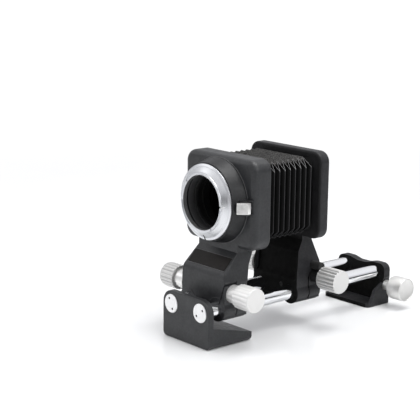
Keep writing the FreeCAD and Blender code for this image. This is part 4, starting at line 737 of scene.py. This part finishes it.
def clock(point):
    """Turn of a point round the lens axis, in degrees clockwise from the top as seen from the front."""
    return (90 - atan2(point.z / MM - AXIS_HEIGHT, point.x / MM) * 180 / pi) % 360


def lens_radius(point):
    return hypot(point.x / MM, point.z / MM - AXIS_HEIGHT)


def in_gap(middle, normal):
    inside = any((clock(middle) - start) % 360 < (stop - start) % 360 for start, stop in LIP_GAPS)
    return inside and 22.1 < lens_radius(middle) < 24.0 and normal.y < -0.5 and middle.y / MM < RING_LIP + 0.3


def in_notch(middle, normal):
    level = abs(middle.z / MM - AXIS_HEIGHT) < 1.0 and middle.x > 0
    return level and 22.05 < lens_radius(middle) < 25.2 and normal.y < -0.3


def in_index(middle, normal):
    return abs(clock(middle) - INDEX_TURN) < 1.1 and 26.4 < lens_radius(middle) < 30.48 and normal.y < -0.3


def in_throat(middle, normal):
    return lens_radius(middle) < 22.08 and abs(normal.y) < 0.5


def flange_ring():
    """Bayonet ring: a stepped cone with gaps in its lip, the lock pin's notch and a black index line."""
    back, lip = RING_FACE, RING_LIP
    ring = lathe("lens_flange", [
        (back, 23.6), (back, 30.4), (back - 1.15, 30.5), (back - 1.35, 30.4), (back - 2.2, 28.75),
        (back - 2.28, 28.55), (back - 2.05, 28.4), (back - 2.5, 27.9), (back - 3.74, 26.3), (lip + 0.75, 24.35),
        (lip + 0.95, 24.2), (lip + 0.12, 24.05), (lip, 23.9), (lip, 22.2), (lip + 0.2, 22.0), (lip + 4, 22.0),
        (lip + 4, 23.6), (back, 23.6),
    ], LENS_AXIS, "Y", 360)
    open_mesh(ring)
    for wanted, sunk in ((in_gap, 0.8), (in_notch, 0.7), (in_index, 0.06)):
        pick_faces(ring, wanted)
        grow(0, sunk, 0)
    bpy.ops.mesh.select_more()
    ring.data.materials.append(RING_METAL)
    paint_picked(ring, BLACK_FILL)
    pick_faces(ring, in_throat)
    paint_picked(ring, THROAT_BLACK)
    bpy.ops.mesh.select_all(action="SELECT")
    bpy.ops.mesh.normals_make_consistent(inside=False)
    close_mesh()
    smooth(ring, 28)
    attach(ring, "front_carriage")
    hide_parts("bayonet_ring")


flange_ring()

# Raised seam bead round the turret's foot, painted pale as a highlight along the edge.
seam = lathe("turret_seam", [
    (7.35, 34.2), (7.35, 34.9), (7.12, 34.9), (6.98, 34.72), (6.98, 34.45), (7.1, 34.2), (7.35, 34.2),
], LENS_AXIS, "Y", 160)
smooth(seam, 50)
fit(seam, "front_carriage", PALE_EDGE_HIGHLIGHT, ())

# ---------------------------------------------------------------- lens release

KEY_INNER, KEY_OUTER, KEY_FRONT, KEY_SHOULDER = 34.6, 40.7, -4.6, 2.4
KEY_CROWN = (0.37, -0.33)
ARM_END, ARM_MIDDLE, ARM_THICK, ARM_TALL = KEY_INNER + 1, -1.4, 3.0, 4.0
GRIP_HEIGHT, GRIP_CROWN, GRIP_COLUMNS, GRIP_ROWS = 8.3, 0.5, 9, 9


def release_button():
    """Block of the release key: a crowned slope between its front edge and its shoulder, on an arm to the pin."""
    low, high = (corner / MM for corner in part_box("release_key"))
    middle = (KEY_INNER + KEY_OUTER) / 2
    clear_bench()
    bpy.ops.mesh.primitive_cube_add(size=MM, location=(middle * MM, (KEY_FRONT + high.y) / 2 * MM, AXIS_HEIGHT * MM))
    bpy.context.object.scale = (KEY_OUTER - KEY_INNER, high.y - KEY_FRONT, high.z - low.z)
    block = set_down("release_button")
    open_mesh(block)
    pick_edges(block, lambda a, b: all(p.x / MM > KEY_OUTER - 0.01 and p.y / MM < KEY_FRONT + 0.01 for p in (a, b)))
    bpy.ops.transform.translate(value=(0, (KEY_SHOULDER - KEY_FRONT) * MM, 0))
    bpy.ops.mesh.select_all(action="SELECT")
    bpy.ops.mesh.bisect(plane_co=(middle * MM, 0, 0), plane_no=(1, 0, 0))
    pick_edges(block, lambda a, b: all(abs(p.x / MM - middle) < 0.01 and p.y / MM < KEY_SHOULDER for p in (a, b)))
    bpy.ops.transform.translate(value=(KEY_CROWN[0] * MM, KEY_CROWN[1] * MM, 0))
    close_mesh()
    apply_modifier(block, "BEVEL", width=0.22 * MM, segments=2, limit_method="ANGLE", angle_limit=radians(20))

    clear_bench()
    bpy.ops.mesh.primitive_cube_add(
        size=MM, location=((low.x + ARM_END) / 2 * MM, ARM_MIDDLE * MM, AXIS_HEIGHT * MM))
    bpy.context.object.scale = (ARM_END - low.x, ARM_THICK, ARM_TALL)
    arm = set_down("release_arm")
    apply_modifier(arm, "BEVEL", width=0.2 * MM, segments=2)
    smooth(arm, 30)
    # The arm is painted black as shade, where it lies in the dark beside the key.
    fit(arm, "lens_release", SCREW_BLACK, ("release_key",))
    smooth(block, 30)
    fit(block, "lens_release", KEY_METAL, ())


def key_grip():
    """Checkered face of the release key: small pads in rows over the crowned slope, the grooves between them painted
    dark as shade.
    """
    near, far = Vector((KEY_INNER, KEY_FRONT)), Vector((KEY_OUTER, KEY_SHOULDER))
    along = (far - near).normalized()
    out = Vector((along.y, -along.x))
    middle = (near + far) / 2 + out * 0.02
    length = (far - near).length - 0.7
    clear_bench()
    bpy.ops.mesh.primitive_grid_add(
        x_subdivisions=GRIP_COLUMNS + 1, y_subdivisions=GRIP_ROWS, size=MM,
        location=(middle.x * MM, middle.y * MM, AXIS_HEIGHT * MM), rotation=(pi / 2, 0, atan2(along.y, along.x)))
    bpy.context.object.scale = (length, GRIP_HEIGHT, 1)
    grip = set_down("release_grip")

    def reach(point):
        """How far along the slope a point lies, 0 to 1."""
        return (Vector((point.x, point.y)) / MM - middle).dot(along) / length + 0.5

    open_mesh(grip, "VERT")
    for column in range(1, GRIP_COLUMNS + 1):
        share = column / (GRIP_COLUMNS + 1)
        pick_points(grip, lambda point: abs(reach(point) - share) < 0.02)
        crown = GRIP_CROWN * (1 - abs(2 * share - 1))
        bpy.ops.transform.translate(value=(out.x * crown * MM, out.y * crown * MM, 0))
    bpy.ops.mesh.select_mode(type="FACE")
    bpy.ops.mesh.select_all(action="SELECT")
    bpy.ops.mesh.normals_make_consistent(inside=False)
    bpy.ops.mesh.inset(thickness=0.12 * MM, depth=0.14 * MM, use_individual=True)
    bpy.ops.mesh.select_all(action="INVERT")
    close_mesh()
    fit(grip, "lens_release", KEY_METAL, ())
    take(grip)
    bpy.ops.object.mode_set(mode="EDIT")
    # Painted shade in the grooves round the pads.
    paint_picked(grip, GROOVE_SHADE)
    close_mesh()
    apply_modifier(grip, "SOLIDIFY", thickness=0.12 * MM, offset=-1)
    smooth(grip, 20)


release_button()
key_grip()

# ---------------------------------------------------------------- nameplate

PLATE_RUN, PLATE_RISE = 9.0, 9.4
PLATE_FOOT = Vector((0, -5.5, 59.5))


def plate_border():
    """Thin raised line round the nameplate, painted pale as a highlight along its edge."""
    low, high = (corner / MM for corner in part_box("nameplate"))
    length = hypot(PLATE_RUN, PLATE_RISE)
    middle = PLATE_FOOT + Vector((0, PLATE_RUN, PLATE_RISE)) / 2
    out = Vector((0, -PLATE_RISE, PLATE_RUN)) / length
    clear_bench()
    bpy.ops.mesh.primitive_plane_add(
        size=MM, location=(middle + out * 0.06) * MM, rotation=(atan2(PLATE_RISE, PLATE_RUN), 0, 0))
    bpy.context.object.scale = (high.x - low.x, length, 1)
    border = set_down("nameplate_border")
    open_mesh(border)
    bpy.ops.mesh.select_all(action="SELECT")
    bpy.ops.mesh.inset(thickness=0.45 * MM)
    bpy.ops.mesh.delete(type="FACE")
    bpy.ops.mesh.select_all(action="SELECT")
    bpy.ops.mesh.extrude_region_move(TRANSFORM_OT_translate={"value": out * 0.14 * MM})
    bpy.ops.mesh.select_all(action="SELECT")
    bpy.ops.mesh.normals_make_consistent(inside=False)
    close_mesh()
    fit(border, "front_carriage", PALE_EDGE_HIGHLIGHT, ())


plate_border()

# ---------------------------------------------------------------- studio


def white_table():
    """Glossy white table top that runs out into the white behind it."""
    finish = Finish("GlossWhiteTable", (0.86, 0.865, 0.87), 0.16, Specular_IOR_Level=0.5)
    finish.roughness(finish.spread(finish.noise(14, 3), 0.3, 0.7, 0.14, 0.2))
    far = finish.spread(finish.axis_distance((0, 0, 0), "Z"), 0.45, 1.1)
    seen = finish.add("ShaderNodeLightPath").outputs["Is Camera Ray"]
    glow = finish.add("ShaderNodeEmission", Color=(1, 1, 1, 1), Strength=1.05)
    choice = finish.add("ShaderNodeMixShader")
    finish.link(finish.math("MULTIPLY", seen, far), choice.inputs[0])
    finish.link(finish.shader.outputs[0], choice.inputs[1])
    finish.link(glow.outputs[0], choice.inputs[2])
    finish.link(choice.outputs[0], finish.tree.nodes["Material Output"].inputs["Surface"])
    return finish.material


clear_bench()
bpy.ops.mesh.primitive_plane_add(size=3.2, location=(0, 0, -0.0001))
floor = set_down("studio_floor")
floor.data.materials.append(white_table())

# Brightness of the sky at each height, on its left and its right side
SKY_HEIGHTS = (0.0, 0.03, 0.14, 0.26, 0.5, 1.0)
SKY_SIDES = ((0.7, 0.62, 0.62, 0.66, 0.8, 1.0), (0.04, 0.03, 0.10, 0.6, 0.9, 1.0))


def studio_sky():
    """Bright overhead, a dim band near the horizon for the metal to mirror, and plain white behind the object."""
    world = bpy.data.worlds.new("Studio")
    bpy.context.scene.world = world
    world.use_nodes = True
    nodes, link = world.node_tree.nodes, world.node_tree.links.new
    axes = nodes.new("ShaderNodeSeparateXYZ")
    link(nodes.new("ShaderNodeTexCoord").outputs["Generated"], axes.inputs[0])

    turn = nodes.new("ShaderNodeMapRange")
    turn.interpolation_type = "SMOOTHSTEP"
    turn.inputs["From Min"].default_value, turn.inputs["From Max"].default_value = -0.25, 0.35
    link(axes.outputs["X"], turn.inputs["Value"])
    tone = nodes.new("ShaderNodeMix")
    tone.data_type = "RGBA"
    link(turn.outputs["Result"], tone.inputs[0])
    for levels, socket in zip(SKY_SIDES, (tone.inputs[6], tone.inputs[7])):
        ramp = nodes.new("ShaderNodeValToRGB")
        link(axes.outputs["Z"], ramp.inputs["Fac"])
        stops = ramp.color_ramp.elements
        for stop, place, level in ((stops[0], 0.0, levels[0]), (stops[1], 1.0, levels[-1])):
            stop.position, stop.color = place, (level, level, level, 1)
        for place, level in zip(SKY_HEIGHTS[1:-1], levels[1:-1]):
            stops.new(place).color = (level, level, level * 1.03, 1)
        link(ramp.outputs["Color"], socket)

    sky = nodes["Background"]
    sky.inputs["Strength"].default_value = 1.0
    link(tone.outputs[2], sky.inputs["Color"])
    backdrop = nodes.new("ShaderNodeBackground")
    backdrop.inputs["Color"].default_value = (1, 1, 1, 1)
    backdrop.inputs["Strength"].default_value = 1.1
    choice = nodes.new("ShaderNodeMixShader")
    link(nodes.new("ShaderNodeLightPath").outputs["Is Camera Ray"], choice.inputs[0])
    link(sky.outputs[0], choice.inputs[1])
    link(backdrop.outputs[0], choice.inputs[2])
    link(choice.outputs[0], nodes["World Output"].inputs["Surface"])


studio_sky()


def softbox(name, place, aim, size, power):
    lamp = bpy.data.lights.new(name, "AREA")
    lamp.shape = "RECTANGLE"
    lamp.size, lamp.size_y = size
    lamp.energy = power
    holder = bpy.data.objects.new(name, lamp)
    bpy.context.scene.collection.objects.link(holder)
    holder.location = place
    holder.rotation_euler = (Vector(aim) - Vector(place)).to_track_quat("-Z", "Y").to_euler()


softbox("overhead", (0.15, 0.25, 1.3), (0, 0.08, 0.08), (0.9, 0.9), 12)
softbox("right_key", (1.3, 0.1, 0.75), (0, 0.08, 0.08), (0.7, 0.7), 4)
softbox("left_fill", (-0.9, -0.7, 0.8), (0, 0.05, 0.08), (0.7, 0.7), 1.2)

# ---------------------------------------------------------------- camera

CAMERA_PLACE = (0.72507, -0.6297, 0.3120)
CAMERA_AHEAD = (-0.7388, 0.6400, -0.2110)
CAMERA_ROLL = radians(0.68)

camera_data = bpy.data.cameras.new("camera")
camera = bpy.data.objects.new("camera", camera_data)
bpy.context.scene.collection.objects.link(camera)
bpy.context.scene.camera = camera
camera_data.sensor_width = 36
camera_data.lens = 106.2
camera_data.clip_start = 0.05
camera_data.clip_end = 30
ahead = Vector(CAMERA_AHEAD).normalized()
level = ahead.cross(Vector((0, 0, 1))).normalized()
upright = level.cross(ahead)
right = level * cos(CAMERA_ROLL) + upright * sin(CAMERA_ROLL)
top = upright * cos(CAMERA_ROLL) - level * sin(CAMERA_ROLL)
turn = Matrix((right, top, -ahead)).transposed()
camera.matrix_world = Matrix.Translation(CAMERA_PLACE) @ turn.to_4x4()

bpy.context.scene.view_settings.view_transform = "Standard"

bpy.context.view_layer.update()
